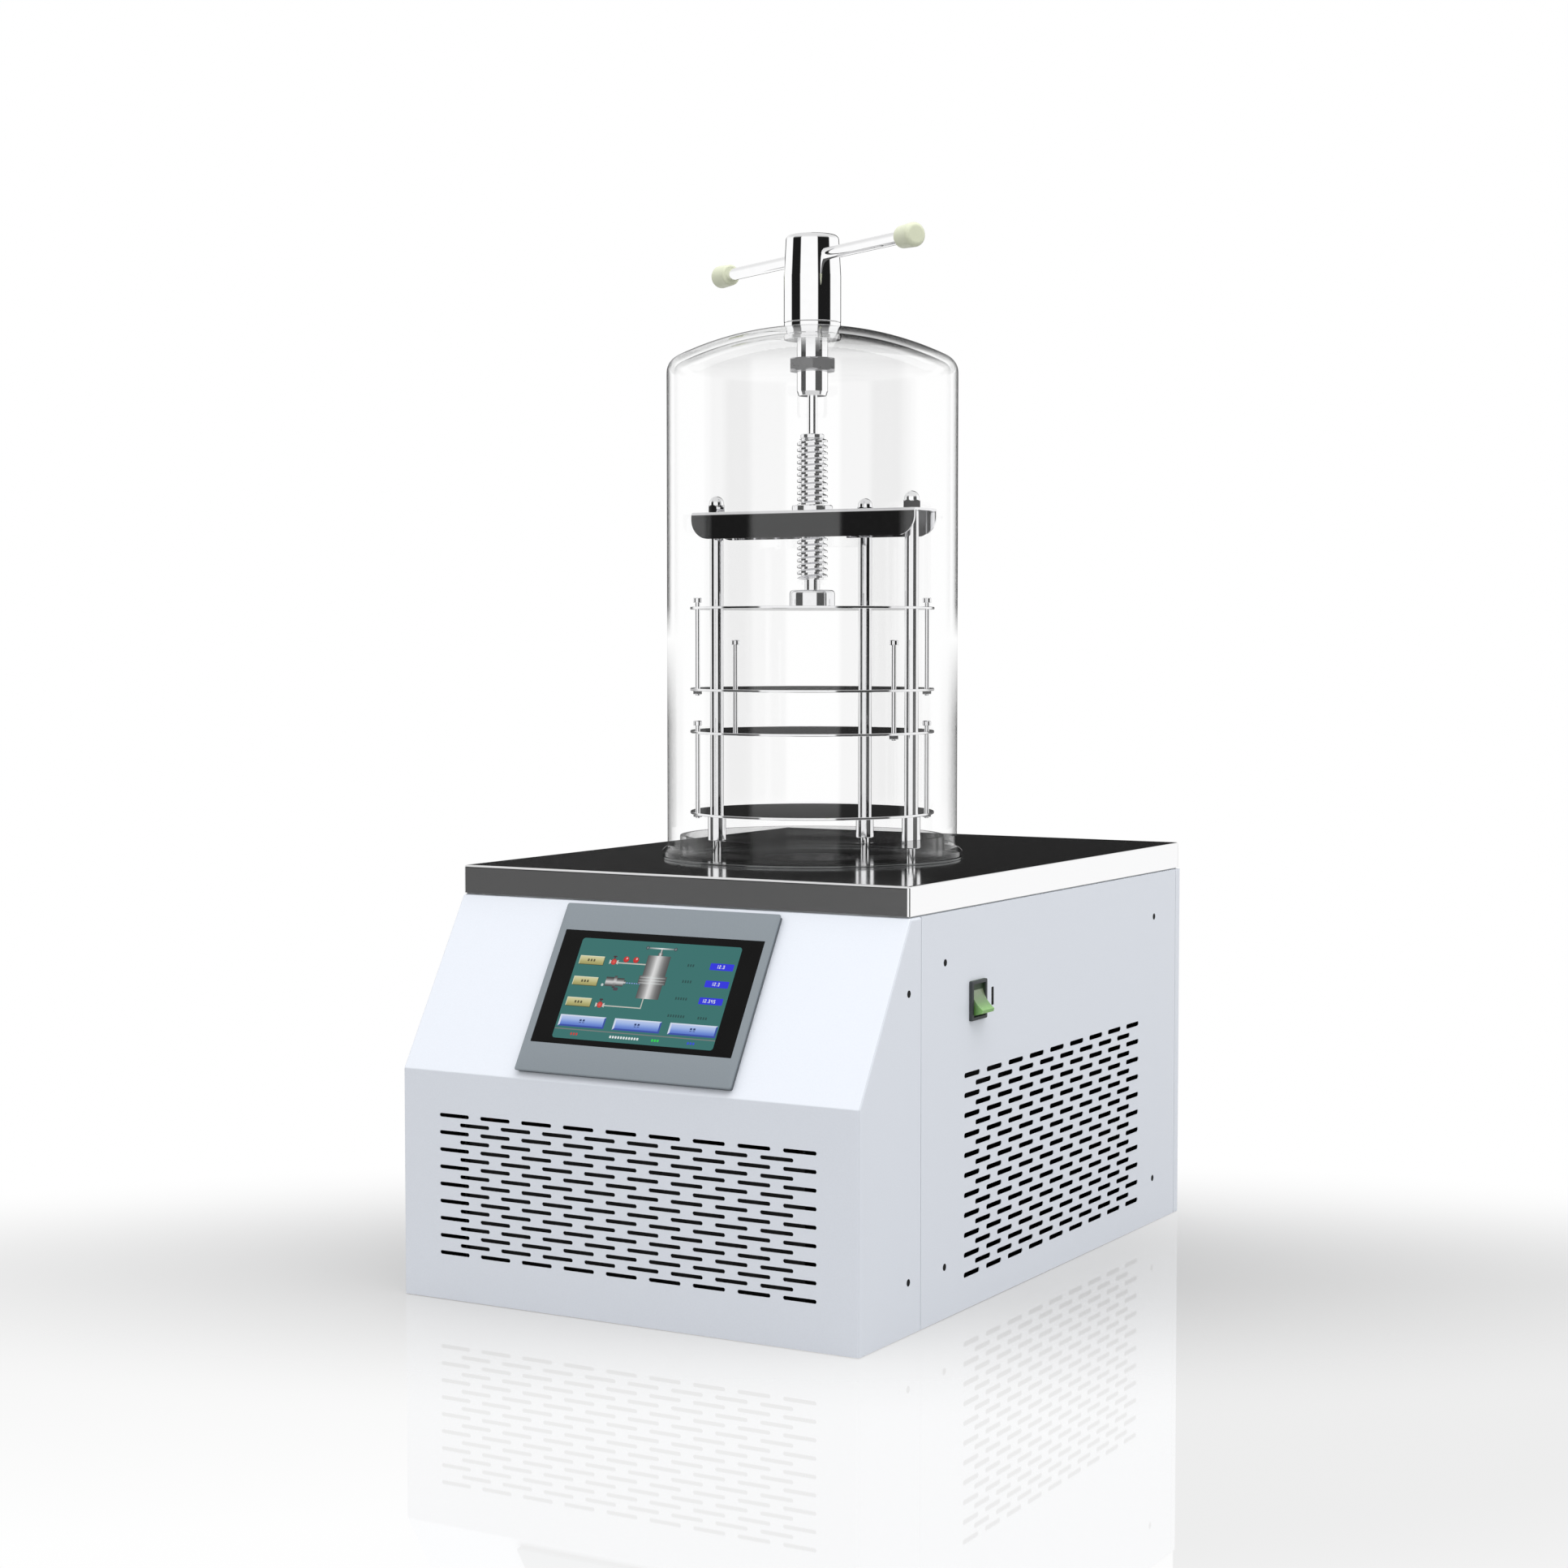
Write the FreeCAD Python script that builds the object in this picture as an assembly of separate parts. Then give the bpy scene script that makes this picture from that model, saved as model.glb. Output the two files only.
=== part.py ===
"""Bench freeze dryer: sheet-metal cabinet, cold trap, clear drying jar and a stoppering rack.

Millimetres. X points to the right of the cabinet, Y to its back and Z up.
The origin is the centre of the cabinet's footprint, on the surface that it stands on.
"""
import FreeCAD, Part
import math
import os

os.makedirs("parts", exist_ok=True)

# ---- driving dimensions: cabinet
cabinet_width = 400.0
cabinet_depth = 594.0
panel_height = 304.3
slope_rise = 128.3
slope_setback = 78.5
sheet = 1.2
bend_radius = 2.0
seam_setback = 94.4
rear_wrap = 9.0
seam_gap = 0.6
return_flange = 12.0
pan_sheet = 1.5
pan_lip = 18.0
pan_fit = 0.2

# ---- top plate and the frame under it
plate_sheet = 1.5
plate_lip = 22.0
plate_gap = 1.3
plate_inset = 1.0
plate_front_overhang = 0.5
cover_post_drop = 3.6
frame_section = 20.0
frame_wall = 1.5
frame_fit = 0.3
vapour_port_radius = 40.0

# ---- posts inside the cabinet and the panel screws
corner_post_width = 20.0
corner_post_depth = 15.0
corner_post_wall = 1.5
side_screw_front_inset = 38.8
side_screw_rear_inset = 48.4
cover_screw_inset = 19.1
screw_high_drop = 37.5
cover_screw_high_drop = 54.5
screw_low_z = 38.8
panel_screw_radius = 1.5
panel_screw_head_radius = 2.7
panel_screw_length = 9.0
screw_clearance = 0.1

# ---- ventilation slots
front_slot_length = 27.5
front_slot_height = 3.0
front_slot_pitch = 37.95
front_row_pitch = 6.64
front_vent_drop = 33.7
front_vent_floor = 36.0
front_vent_margin = 34.0
side_slot_length = 27.0
side_slot_height = 4.0
side_slot_pitch = 38.76
side_row_pitch = 7.6
side_vent_drop = 126.4
side_vent_floor = 25.8
side_vent_margin = 75.0
side_vent_forward = 4.85

# ---- touch panel on the slope
bezel_width = 190.0
bezel_length = 141.0
bezel_thickness = 5.0
bezel_start = 5.0
bezel_corner = 1.8
glass_width = 176.5
glass_length = 94.0
glass_start = 29.0
glass_thickness = 1.5
glass_fit = 0.2
case_width = 170.0
case_length = 111.0
case_depth = 35.0
case_wall = 2.0
cutout_fit = 0.5
board_thickness = 1.6
board_margin = 6.0
boss_radius = 3.0
boss_length = 16.0

# ---- mains switch on the right side
switch_setback = 92.5
switch_drop = 70.8
switch_width = 27.0
switch_height = 30.3
switch_proud = 2.5
switch_body_depth = 26.0
switch_body_margin = 1.4
switch_back_wall = 2.0
switch_edge_round = 1.2
window_width = 20.6
window_height = 25.2
rocker_gap = 0.3
rocker_tilt = 14.0
rocker_face = 1.2
rocker_fold_rise = 0.65
rocker_fold_gap = 3.9
rocker_dish = 1.7
rocker_lip_reach = 7.8
rocker_lip_back = 1.1
rocker_lip_height = 2.3
rocker_depth = 7.0
rocker_shoulder = 1.0
rocker_foot_share = 0.55
rocker_end_gap = 1.3
rocker_pin_radius = 1.5
rocker_pin_length = 2.2
running_gap = 0.05

# ---- drying jar
jar_forward = 47.75
jar_radius = 118.8
jar_wall = 6.0
jar_height = 432.2
dome_radius = 254.0
dome_knuckle = 14.0
jar_flange_radius = 123.0
jar_flange_height = 7.0
jar_flange_edge = 4.2
gasket_inner_radius = 111.0
gasket_outer_radius = 124.0
gasket_thickness = 2.0
collar_radius = 108.6
collar_wall = 5.0
collar_height = 18.4

# ---- gland through the dome
gland_flange_radius = 23.2
gland_flange_thickness = 1.5
gland_plug_radius = 21.2
gland_stem_radius = 12.6
gland_stem_length = 51.4
gland_stem_chamfer = 1.2
gland_washer_thickness = 5.0
gland_nut_flats = 36.0
gland_nut_height = 10.5
gland_nut_drop = 16.0
seal_radius = 8.0
seal_height = 6.0
seal_drop = 8.0
fit_gap = 0.1

# ---- handle and drive rod
rod_radius = 4.0
rod_flats = 6.4
rod_engagement = 45.4
rod_in_knob = 26.0
knob_gap = 0.3
knob_radius = 23.3
knob_top_radius = 21.7
knob_skirt = 37.4
knob_height = 70.8
knob_round = 4.4
knob_edge_fillet = 4.18
bar_radius = 5.0
bar_drop = 17.4
bar_angle = -29.1
bar_half_length = 146.0
cap_radius = 9.7
cap_inner_radius = 8.7
cap_length = 20.5
cap_cover = 14.0
cap_round = 3.6
cap_inner_round = 2.0

# ---- stoppering rack
shelf_radius = 100.0
shelf_thickness = 2.0
press_room = 80.6
lowest_shelf_lift = 36.1
shelf_fractions = [1.0, 0.60335, 0.39605, 0.0]
post_circle = 91.5
post_radius = 5.6
post_shoulder_radius = 7.5
post_shoulder_length = 25.7
post_pin_radius = 3.25
post_spigot_radius = 2.4
post_spigot_length = 6.0
post_angles = [180.0, 0.0, 90.0]
slide_gap = 0.3
stud_radius = 4.0
stud_length = 10.0
acorn_flats = 13.0
acorn_hex_height = 6.5
acorn_height = 14.0
jar_headroom = 150.6
crosshead_sheet = 2.0
crosshead_drop = 22.0
crosshead_half_length = 104.0
crosshead_half_width = 20.0
crosshead_corner = 16.0
crosshead_bend = 3.0
tongue_end = 14.0
tongue_corner = 6.0

# ---- press screw
screw_radius = 12.5
screw_thread_bottom = 22.4
screw_thread_length = 115.0
screw_top_radius = 9.5
screw_top_length = 3.4
screw_neck_radius = 6.2
screw_pin_depth = 10.0
socket_depth = 53.0
foot_radius = 18.5
foot_height = 13.9
foot_round = 3.0
nut_flange_radius = 16.6
nut_flange_height = 4.4
nut_hub_radius = 15.0
nut_hub_length = 20.0
rod_flats_rise = 2.6

# ---- hanger bolts between shelves
bolt_circle = 94.0
bolt_angles = [[30.0, 210.0], [-17.0, 163.0], [30.0, 210.0]]
bolt_radius = 2.0
bolt_head_lift = 3.6
bolt_head_radius = 3.5
bolt_head_height = 4.0
bolt_nut_flats = 7.0
bolt_nut_height = 3.2
bolt_tail = 1.0

# ---- cold trap
vessel_radius = 78.0
vessel_wall = 1.2
vessel_depth = 156.0
vessel_rim_radius = 87.0
evaporator_length = 110.0
evaporator_start = 20.0
evaporator_wall = 1.5
evaporator_ridge = 4.0
evaporator_ridges = 4
evaporator_gap = 0.1
foam_half_width = 118.0
foam_floor = 30.0
vacuum_pipe_radius = 14.0
vacuum_pipe_wall = 2.0
vacuum_pipe_drop = 66.0
vacuum_pipe_stand = 18.0
flange_radius = 20.0
flange_thickness = 7.0
flange_taper = 3.0
flange_recess_radius = 13.1
flange_recess_depth = 3.0
drain_radius = 6.0
drain_wall = 1.5
drain_z = 90.0
drain_bend = 20.0
drain_stand = 6.0
valve_width = 22.0
valve_length = 30.0
valve_corner = 3.0
lever_corner = 5.5
nozzle_radius = 6.0
nozzle_length = 16.0
stem_radius = 4.0
stem_height = 6.0
lever_length = 46.0
lever_width = 12.0
lever_thickness = 3.0

# ---- refrigeration
compressor_side_inset = 95.0
compressor_radius = 60.0
compressor_height = 165.0
compressor_round = 22.0
compressor_foot_width = 150.0
compressor_foot_depth = 110.0
compressor_foot_thickness = 3.0
compressor_foot_corner = 8.0
grommet_radius = 10.0
grommet_height = 12.0
grommet_inset = 14.0
condenser_width = 300.0
condenser_height = 140.0
condenser_depth = 40.0
condenser_front_gap = 10.0
condenser_plate = 2.0
condenser_inset = 4.0
shroud_depth = 24.0
shroud_wall = 2.0
duct_radius = 60.0
blade_gap = 2.0
blade_count = 5
blade_pitch = 28.0
blade_thickness = 2.0
blade_reach = 0.8
hub_radius = 20.0
hub_depth = 16.0
fan_shaft_radius = 2.5
motor_radius = 19.0
motor_depth = 24.0
motor_round = 3.0
motor_bearing_depth = 18.0
arm_width = 8.0
arm_thickness = 3.0
line_radius = 4.0
line_bend = 12.0
discharge_port = [-20.0, 15.0]
discharge_rise = 30.0
discharge_side_inset = 35.0
discharge_drop_y = 20.0
discharge_run_rise = 25.0
discharge_step = 27.0
suction_port = [10.0, -10.0]
suction_rise = 50.0
liquid_inset = 12.0
liquid_rise = 35.0
drier_radius = 11.0
drier_length = 70.0
drier_round = 4.0

# ---- connections on the rear panel
inlet_side_inset = 70.0
inlet_z = 70.0
inlet_width = 48.0
inlet_height = 32.0
inlet_flange = 3.0
inlet_face = 2.0
inlet_face_round = 1.0
inlet_depth = 26.0
inlet_mouth_width = 25.0
inlet_mouth_height = 17.0
inlet_mouth_depth = 17.0
inlet_pin_width = 4.0
inlet_pin_thickness = 2.0
inlet_pin_length = 11.0
inlet_pin_spacing = 7.0
inlet_earth_lift = 1.6
outlet_z = 130.0
outlet_slot_depth = 12.0
panel_fit = 0.3

# ---- places worked out from the driving dimensions
half_width = cabinet_width / 2
front_y = -cabinet_depth / 2
rear_y = cabinet_depth / 2
front_height = panel_height - slope_rise
seam_y = front_y + seam_setback
slope_top_y = front_y + slope_setback
slope_angle = math.degrees(math.atan2(slope_rise, slope_setback))
plate_top = panel_height + plate_gap + plate_lip
plate_under = plate_top - plate_sheet
plate_front_y = slope_top_y - plate_front_overhang
side_start_y = seam_y + seam_gap
side_end_y = rear_y - rear_wrap - seam_gap
front_top_row_z = front_height - front_vent_drop
side_top_row_z = panel_height - side_vent_drop
side_vent_centre_y = (side_start_y + side_end_y) / 2 - side_vent_forward
side_screw_front_y = side_start_y + side_screw_front_inset
side_screw_rear_y = side_end_y - side_screw_rear_inset
cover_screw_y = seam_y - cover_screw_inset
screw_high_z = panel_height - screw_high_drop
cover_screw_high_z = panel_height - cover_screw_high_drop
side_screws = [(y, z) for y in (side_screw_front_y, side_screw_rear_y) for z in (screw_low_z, screw_high_z)]
cover_screws = [(cover_screw_y, screw_low_z), (cover_screw_y, cover_screw_high_z)]
case_start = bezel_start + (bezel_length - case_length) / 2
switch_y = side_start_y + switch_setback
switch_z = panel_height - switch_drop
jar_centre_y = (plate_front_y + rear_y) / 2 - jar_forward
jar_base = plate_top + gasket_thickness
jar_top = jar_base + jar_height
dome_under = jar_top - jar_wall
gland_top = jar_top + gland_flange_thickness
knob_base = gland_top + knob_gap
knob_top = knob_base + knob_height
crosshead_top = jar_top - jar_headroom
lowest_shelf = plate_top + lowest_shelf_lift
stack_height = crosshead_top - press_room - lowest_shelf
shelf_heights = [lowest_shelf + fraction * stack_height for fraction in shelf_fractions]
shelf_1_top = shelf_heights[0] + shelf_thickness
neck_base = shelf_1_top + foot_height
thread_base = shelf_1_top + screw_thread_bottom
screw_top = thread_base + screw_thread_length + screw_top_length
rod_bottom = screw_top - rod_engagement
hanger_reach = bolt_nut_height + bolt_tail
bolt_top = shelf_1_top + bolt_head_lift + bolt_head_height
bolt_length = bolt_top - shelf_heights[1] + hanger_reach
vessel_floor = plate_under - vessel_depth
fan_axis_z = pan_sheet + condenser_height / 2
condenser_y = front_y + sheet + condenser_front_gap
fan_plate_y = condenser_y + condenser_depth
condenser_top = pan_sheet + condenser_height
foam_back_y = jar_centre_y + foam_half_width
compressor_x = compressor_side_inset - half_width
compressor_y = (foam_back_y + rear_y - sheet) / 2
compressor_top = pan_sheet + grommet_height + compressor_foot_thickness + compressor_height
vacuum_pipe_z = plate_under - vacuum_pipe_drop
valve_start = rear_y + drain_stand
stem_y = valve_start + valve_length / 2
inlet_x = half_width - inlet_side_inset


# ---- general shapes
def vec(x, y, z):
    return FreeCAD.Vector(x, y, z)


def box(x_span, y_span, z_span):
    """A box between two limits along each axis."""
    size = [span[1] - span[0] for span in (x_span, y_span, z_span)]
    return Part.makeBox(*size, vec(x_span[0], y_span[0], z_span[0]))


def rod(radius, start, end):
    """A round rod between two points."""
    direction = vec(*end) - vec(*start)
    return Part.makeCylinder(radius, direction.Length, vec(*start), direction)


def upright(radius, z_low, z_high, x=0.0, y=0.0):
    return rod(radius, (x, y, z_low), (x, y, z_high))


def sleeve(outer, inner, z_low, z_high):
    """A plain ring about the jar's axis."""
    ring = upright(outer, z_low, z_high, 0, jar_centre_y)
    return ring.cut(upright(inner, z_low, z_high, 0, jar_centre_y))


def turned(outline, x=0.0, y=0.0):
    """A turned piece from (radius, height) points, about the upright line through x, y."""
    points = [vec(x + radius, y, height) for radius, height in outline]
    face = Part.Face(Part.makePolygon(points + points[:1]))
    return face.revolve(vec(x, y, 0), vec(0, 0, 1), 360)


def prism(points, x_span):
    """A prism along X from an outline of (y, z) points."""
    corners = [vec(x_span[0], y, z) for y, z in points]
    face = Part.Face(Part.makePolygon(corners + corners[:1]))
    return face.extrude(vec(x_span[1] - x_span[0], 0, 0))


def hexagon(flats, z_low, z_high, x=0.0, y=0.0):
    """An upright hexagonal bar, given its width across flats."""
    reach = flats / math.sqrt(3)
    angles = [math.radians(60 * k) for k in range(6)]
    points = [vec(x + reach * math.cos(a), y + reach * math.sin(a), z_low) for a in angles]
    face = Part.Face(Part.makePolygon(points + points[:1]))
    return face.extrude(vec(0, 0, z_high - z_low))


def on_circle(radius, degrees):
    """A point about the jar's axis."""
    angle = math.radians(degrees)
    return radius * math.cos(angle), jar_centre_y + radius * math.sin(angle)


def rounded(shape, radius, chosen):
    """Rounds the edges for which chosen(edge) is true."""
    return shape.makeFillet(radius, [edge for edge in shape.Edges if chosen(edge)])


def on_slope(shape):
    """Takes a shape drawn flat, with Y up the slope and Z out of it, to the sloping front."""
    shape.rotate(vec(0, 0, 0), vec(1, 0, 0), slope_angle)
    shape.translate(vec(0, front_y, front_height))
    return shape


def pipe(points, outer, bend, inner=0.0):
    """A pipe along straight runs joined by bends of one radius, solid unless it has a bore."""
    corners = [vec(*point) for point in points]
    edges = []
    start = corners[0]
    for before, corner, after in zip(corners, corners[1:], corners[2:]):
        back = (before - corner).normalize()
        ahead = (after - corner).normalize()
        turn = math.pi - back.getAngle(ahead)
        reach = bend * math.tan(turn / 2)
        arc_start = corner + back * reach
        arc_end = corner + ahead * reach
        inward = (back + ahead).normalize()
        middle = corner + inward * (bend / math.cos(turn / 2) - bend)
        edges.append(Part.LineSegment(start, arc_start).toShape())
        edges.append(Part.Arc(arc_start, middle, arc_end).toShape())
        start = arc_end
    edges.append(Part.LineSegment(start, corners[-1]).toShape())
    path = Part.Wire(edges)
    direction = corners[1] - corners[0]

    def swept(radius):
        ring = Part.Wire(Part.makeCircle(radius, corners[0], direction))
        return path.makePipeShell([ring], True, False)

    return swept(outer).cut(swept(inner)) if inner else swept(outer)


# ---- cabinet sheets
def cover_outline(inset, back, bottom):
    """The side outline of the front cover as (y, z) points, drawn inwards by inset."""
    angle = math.radians(slope_angle)
    normal_y, normal_z = math.sin(angle), -math.cos(angle)
    run_y, run_z = math.cos(angle), math.sin(angle)
    low = inset * (1 - normal_y) / run_y
    high = (panel_height - inset - front_height - normal_z * inset) / run_z
    low_z = front_height + normal_z * inset + run_z * low
    high_y = front_y + normal_y * inset + run_y * high
    return [
        (front_y + inset, bottom),
        (front_y + inset, low_z),
        (high_y, panel_height - inset),
        (back, panel_height - inset),
        (back, bottom),
    ]


def slot_rows(room, pitch, row_pitch, low_z, top_z):
    """Slot centres as (along, z): every second row has one slot less and sits half a pitch over."""
    count = int(room / pitch) + 1
    centres = []
    for row in range(int((top_z - low_z) / row_pitch) + 1):
        slots = count - row % 2
        for slot in range(slots):
            centres.append(((slot - (slots - 1) / 2) * pitch, top_z - row * row_pitch))
    return centres


def span(centre, length):
    return centre - length / 2, centre + length / 2


def slot_tools(places, length, height, through):
    """Round-ended slots about places (x, z), cut along Y between two limits."""
    straight = (length - height) / 2
    half = height / 2
    tools = []
    for x, z in places:
        corners = [
            vec(x + sign_x * straight, through[0], z + sign_z * half)
            for sign_x, sign_z in ((-1, 1), (1, 1), (1, -1), (-1, -1))
        ]
        right_end = Part.Arc(corners[1], vec(x + straight + half, through[0], z), corners[2])
        left_end = Part.Arc(corners[3], vec(x - straight - half, through[0], z), corners[0])
        edges = [
            Part.makeLine(corners[0], corners[1]),
            right_end.toShape(),
            Part.makeLine(corners[2], corners[3]),
            left_end.toShape(),
        ]
        tools.append(Part.Face(Part.Wire(edges)).extrude(vec(0, through[1] - through[0], 0)))
    return Part.makeCompound(tools)


def countersinks(places, side):
    """Tapered holes for the panel screws in a side sheet; side is +1 right or -1 left."""
    tools = []
    for y, z in places:
        outside = vec(side * half_width, y, z)
        inward = vec(-side, 0, 0)
        wide = panel_screw_head_radius + screw_clearance
        narrow = panel_screw_radius + screw_clearance
        tools.append(Part.makeCone(wide, narrow, sheet, outside, inward))
    return Part.makeCompound(tools)


def front_cover():
    outer = prism(cover_outline(0, seam_y, 0), (-half_width, half_width))
    outer = rounded(
        outer,
        bend_radius,
        lambda edge: edge.BoundBox.ZMax > 1 and edge.BoundBox.YMin < seam_y - 1,
    )
    inside = (-half_width + sheet, half_width - sheet)
    cover = outer.cut(prism(cover_outline(sheet, seam_y + 1, -1), inside))
    room = cabinet_width - 2 * front_vent_margin - front_slot_length
    places = slot_rows(room, front_slot_pitch, front_row_pitch, front_vent_floor, front_top_row_z)
    through = (front_y - 1, front_y + sheet + 1)
    cover = cover.cut(slot_tools(places, front_slot_length, front_slot_height, through))
    wide = case_width / 2 + cutout_fit
    low = case_start - cutout_fit
    high = case_start + case_length + cutout_fit
    cover = cover.cut(on_slope(box((-wide, wide), (low, high), (-sheet - 1, 1))))
    for side in (-1, 1):
        cover = cover.cut(countersinks(cover_screws, side))
    return cover


def side_panel(side):
    """A side panel with folded edges; side is +1 right or -1 left."""
    panel = box((half_width - return_flange, half_width), (side_start_y, side_end_y), (0, panel_height))
    inner = (half_width - return_flange - 1, half_width - sheet)
    hollow = box(inner, (side_start_y + sheet, side_end_y - sheet), (-1, panel_height - sheet))
    relief = box(inner, (side_start_y - 1, side_end_y + 1), (-1, pan_lip + 1))
    panel = panel.cut(hollow).cut(relief)
    room = side_end_y - side_start_y - 2 * side_vent_margin - side_slot_length
    rows = slot_rows(room, side_slot_pitch, side_row_pitch, side_vent_floor, side_top_row_z)
    places = [(side_vent_centre_y + along, z) for along, z in rows]
    slots = slot_tools(places, side_slot_length, side_slot_height, (-half_width - 1, sheet + 1 - half_width))
    slots.rotate(vec(0, 0, 0), vec(0, 0, 1), 90)
    panel = panel.cut(slots)
    if side < 0:
        panel = panel.mirror(vec(0, 0, 0), vec(1, 0, 0))
    else:
        wide = switch_width - 2 * switch_body_margin + 2 * panel_fit
        tall = switch_height - 2 * switch_body_margin + 2 * panel_fit
        through = (half_width - sheet - 1, half_width + 1)
        panel = panel.cut(box(through, span(switch_y, wide), span(switch_z, tall)))
    return panel.cut(countersinks(side_screws, side))


def rear_panel():
    panel = box((-half_width, half_width), (rear_y - rear_wrap, rear_y), (0, panel_height))
    inner = (-half_width + sheet, half_width - sheet)
    panel = panel.cut(box(inner, (rear_y - rear_wrap - 1, rear_y - sheet), (-1, panel_height - sheet)))
    through = (rear_y - sheet - 1, rear_y + 1)
    for z in (inlet_z, outlet_z):
        wide = inlet_width - 2 * inlet_flange + 2 * panel_fit
        tall = inlet_height - 2 * inlet_flange + 2 * panel_fit
        panel = panel.cut(box(span(inlet_x, wide), through, span(z, tall)))
    for radius, z in ((vacuum_pipe_radius, vacuum_pipe_z), (drain_radius, drain_z)):
        panel = panel.cut(rod(radius + panel_fit, (0, through[0], z), (0, through[1], z)))
    return panel


def base_pan():
    wide = half_width - sheet - pan_fit
    deep = cabinet_depth / 2 - sheet - pan_fit
    pan = box((-wide, wide), (-deep, deep), (0, pan_lip))
    inner_wide, inner_deep = wide - pan_sheet, deep - pan_sheet
    return pan.cut(box((-inner_wide, inner_wide), (-inner_deep, inner_deep), (pan_sheet, pan_lip + 1)))


def corner_posts():
    """Six folded posts behind the side sheets, which take the panel screws."""
    outside = half_width - sheet - pan_fit - pan_sheet
    side_top = panel_height - sheet
    slope_run = cover_screw_y - corner_post_width / 2 - front_y
    cover_top = front_height + slope_run * slope_rise / slope_setback - cover_post_drop
    posts = []
    for y, top in ((side_screw_front_y, side_top), (side_screw_rear_y, side_top), (cover_screw_y, cover_top)):
        channel = box((outside - corner_post_depth, outside), span(y, corner_post_width), (pan_sheet, top))
        inner_width = corner_post_width - 2 * corner_post_wall
        x_inner = (outside - corner_post_depth - 1, outside - corner_post_wall)
        channel = channel.cut(box(x_inner, span(y, inner_width), (pan_sheet, top)))
        places = cover_screws if y == cover_screw_y else side_screws
        for screw_y, screw_z in places:
            start, end = (0, screw_y, screw_z), (half_width, screw_y, screw_z)
            hole = rod(panel_screw_radius + screw_clearance, start, end)
            channel = channel.cut(hole)
        posts += [channel, channel.mirror(vec(0, 0, 0), vec(1, 0, 0))]
    return Part.makeCompound(posts)


def panel_screws():
    """Black countersunk screws, flush with the sheets."""
    screws = []
    for side in (-1, 1):
        for y, z in side_screws + cover_screws:
            outside = vec(side * half_width, y, z)
            inward = vec(-side, 0, 0)
            head = Part.makeCone(panel_screw_head_radius, panel_screw_radius, sheet, outside, inward)
            shank = Part.makeCylinder(panel_screw_radius, panel_screw_length, outside, inward)
            screws.append(head.fuse(shank).removeSplitter())
    return Part.makeCompound(screws)


def top_plate():
    wide = half_width - plate_inset
    plate = box((-wide, wide), (plate_front_y, rear_y), (plate_top - plate_lip, plate_top))
    plate = rounded(plate, bend_radius, lambda edge: edge.BoundBox.ZMax > plate_top - 0.1)
    inner = (-wide + plate_sheet, wide - plate_sheet)
    deep = (plate_front_y + plate_sheet, rear_y - plate_sheet)
    plate = plate.cut(box(inner, deep, (plate_top - plate_lip - 1, plate_under)))
    plate = plate.cut(upright(vapour_port_radius, plate_under - 1, plate_top + 1, 0, jar_centre_y))
    for angle in post_angles:
        x, y = on_circle(post_circle, angle)
        plate = plate.cut(upright(post_spigot_radius + fit_gap, plate_under - 1, plate_top + 1, x, y))
    return plate


def top_frame():
    """A ring of channel that carries the top plate on the folded edges of the panels."""
    wide = half_width - plate_inset - plate_sheet - frame_fit
    front = plate_front_y + plate_sheet + frame_fit
    back = rear_y - plate_sheet - frame_fit
    ring = box((-wide, wide), (front, back), (panel_height, plate_under))
    inner = wide - frame_section
    opening = box(
        (-inner, inner), (front + frame_section, back - frame_section), (panel_height - 1, plate_under + 1)
    )
    web = wide - frame_wall
    hollow = box(
        (-web, web),
        (front + frame_wall, back - frame_wall),
        (panel_height + frame_wall, plate_under - frame_wall),
    )
    return ring.cut(opening).cut(hollow)


# ---- touch panel
def hmi_bezel():
    half = bezel_width / 2
    plate = box((-half, half), (bezel_start, bezel_start + bezel_length), (0, bezel_thickness))
    plate = rounded(plate, bezel_corner, lambda edge: edge.BoundBox.ZLength > bezel_thickness - 0.1)
    wide = glass_width / 2 + glass_fit
    low, high = glass_start - glass_fit, glass_start + glass_length + glass_fit
    pocket = box((-wide, wide), (low, high), (bezel_thickness - glass_thickness, bezel_thickness + 1))
    return on_slope(plate.cut(pocket))


def hmi_glass():
    half = glass_width / 2
    seat = bezel_thickness - glass_thickness
    return on_slope(box((-half, half), (glass_start, glass_start + glass_length), (seat, bezel_thickness)))


def board_corners():
    """Where the four bosses stand, flat on the slope."""
    half = case_width / 2 - case_wall - board_margin - boss_radius
    low = case_start + case_wall + board_margin + boss_radius
    high = case_start + case_length - case_wall - board_margin - boss_radius
    return [(x, y) for x in (-half, half) for y in (low, high)]


def hmi_case():
    half = case_width / 2
    outer = box((-half, half), (case_start, case_start + case_length), (-case_depth, 0))
    low, high = case_start + case_wall, case_start + case_length - case_wall
    inner = box((-half + case_wall, half - case_wall), (low, high), (-case_depth - 1, -case_wall))
    case = outer.cut(inner)
    for x, y in board_corners():
        case = case.fuse(upright(boss_radius, -case_wall - boss_length, -case_wall, x, y))
    return on_slope(case.removeSplitter())


def control_board():
    half = case_width / 2 - case_wall - board_margin
    low = case_start + case_wall + board_margin
    high = case_start + case_length - case_wall - board_margin
    seat = -case_wall - boss_length
    return on_slope(box((-half, half), (low, high), (seat - board_thickness, seat)))


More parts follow.
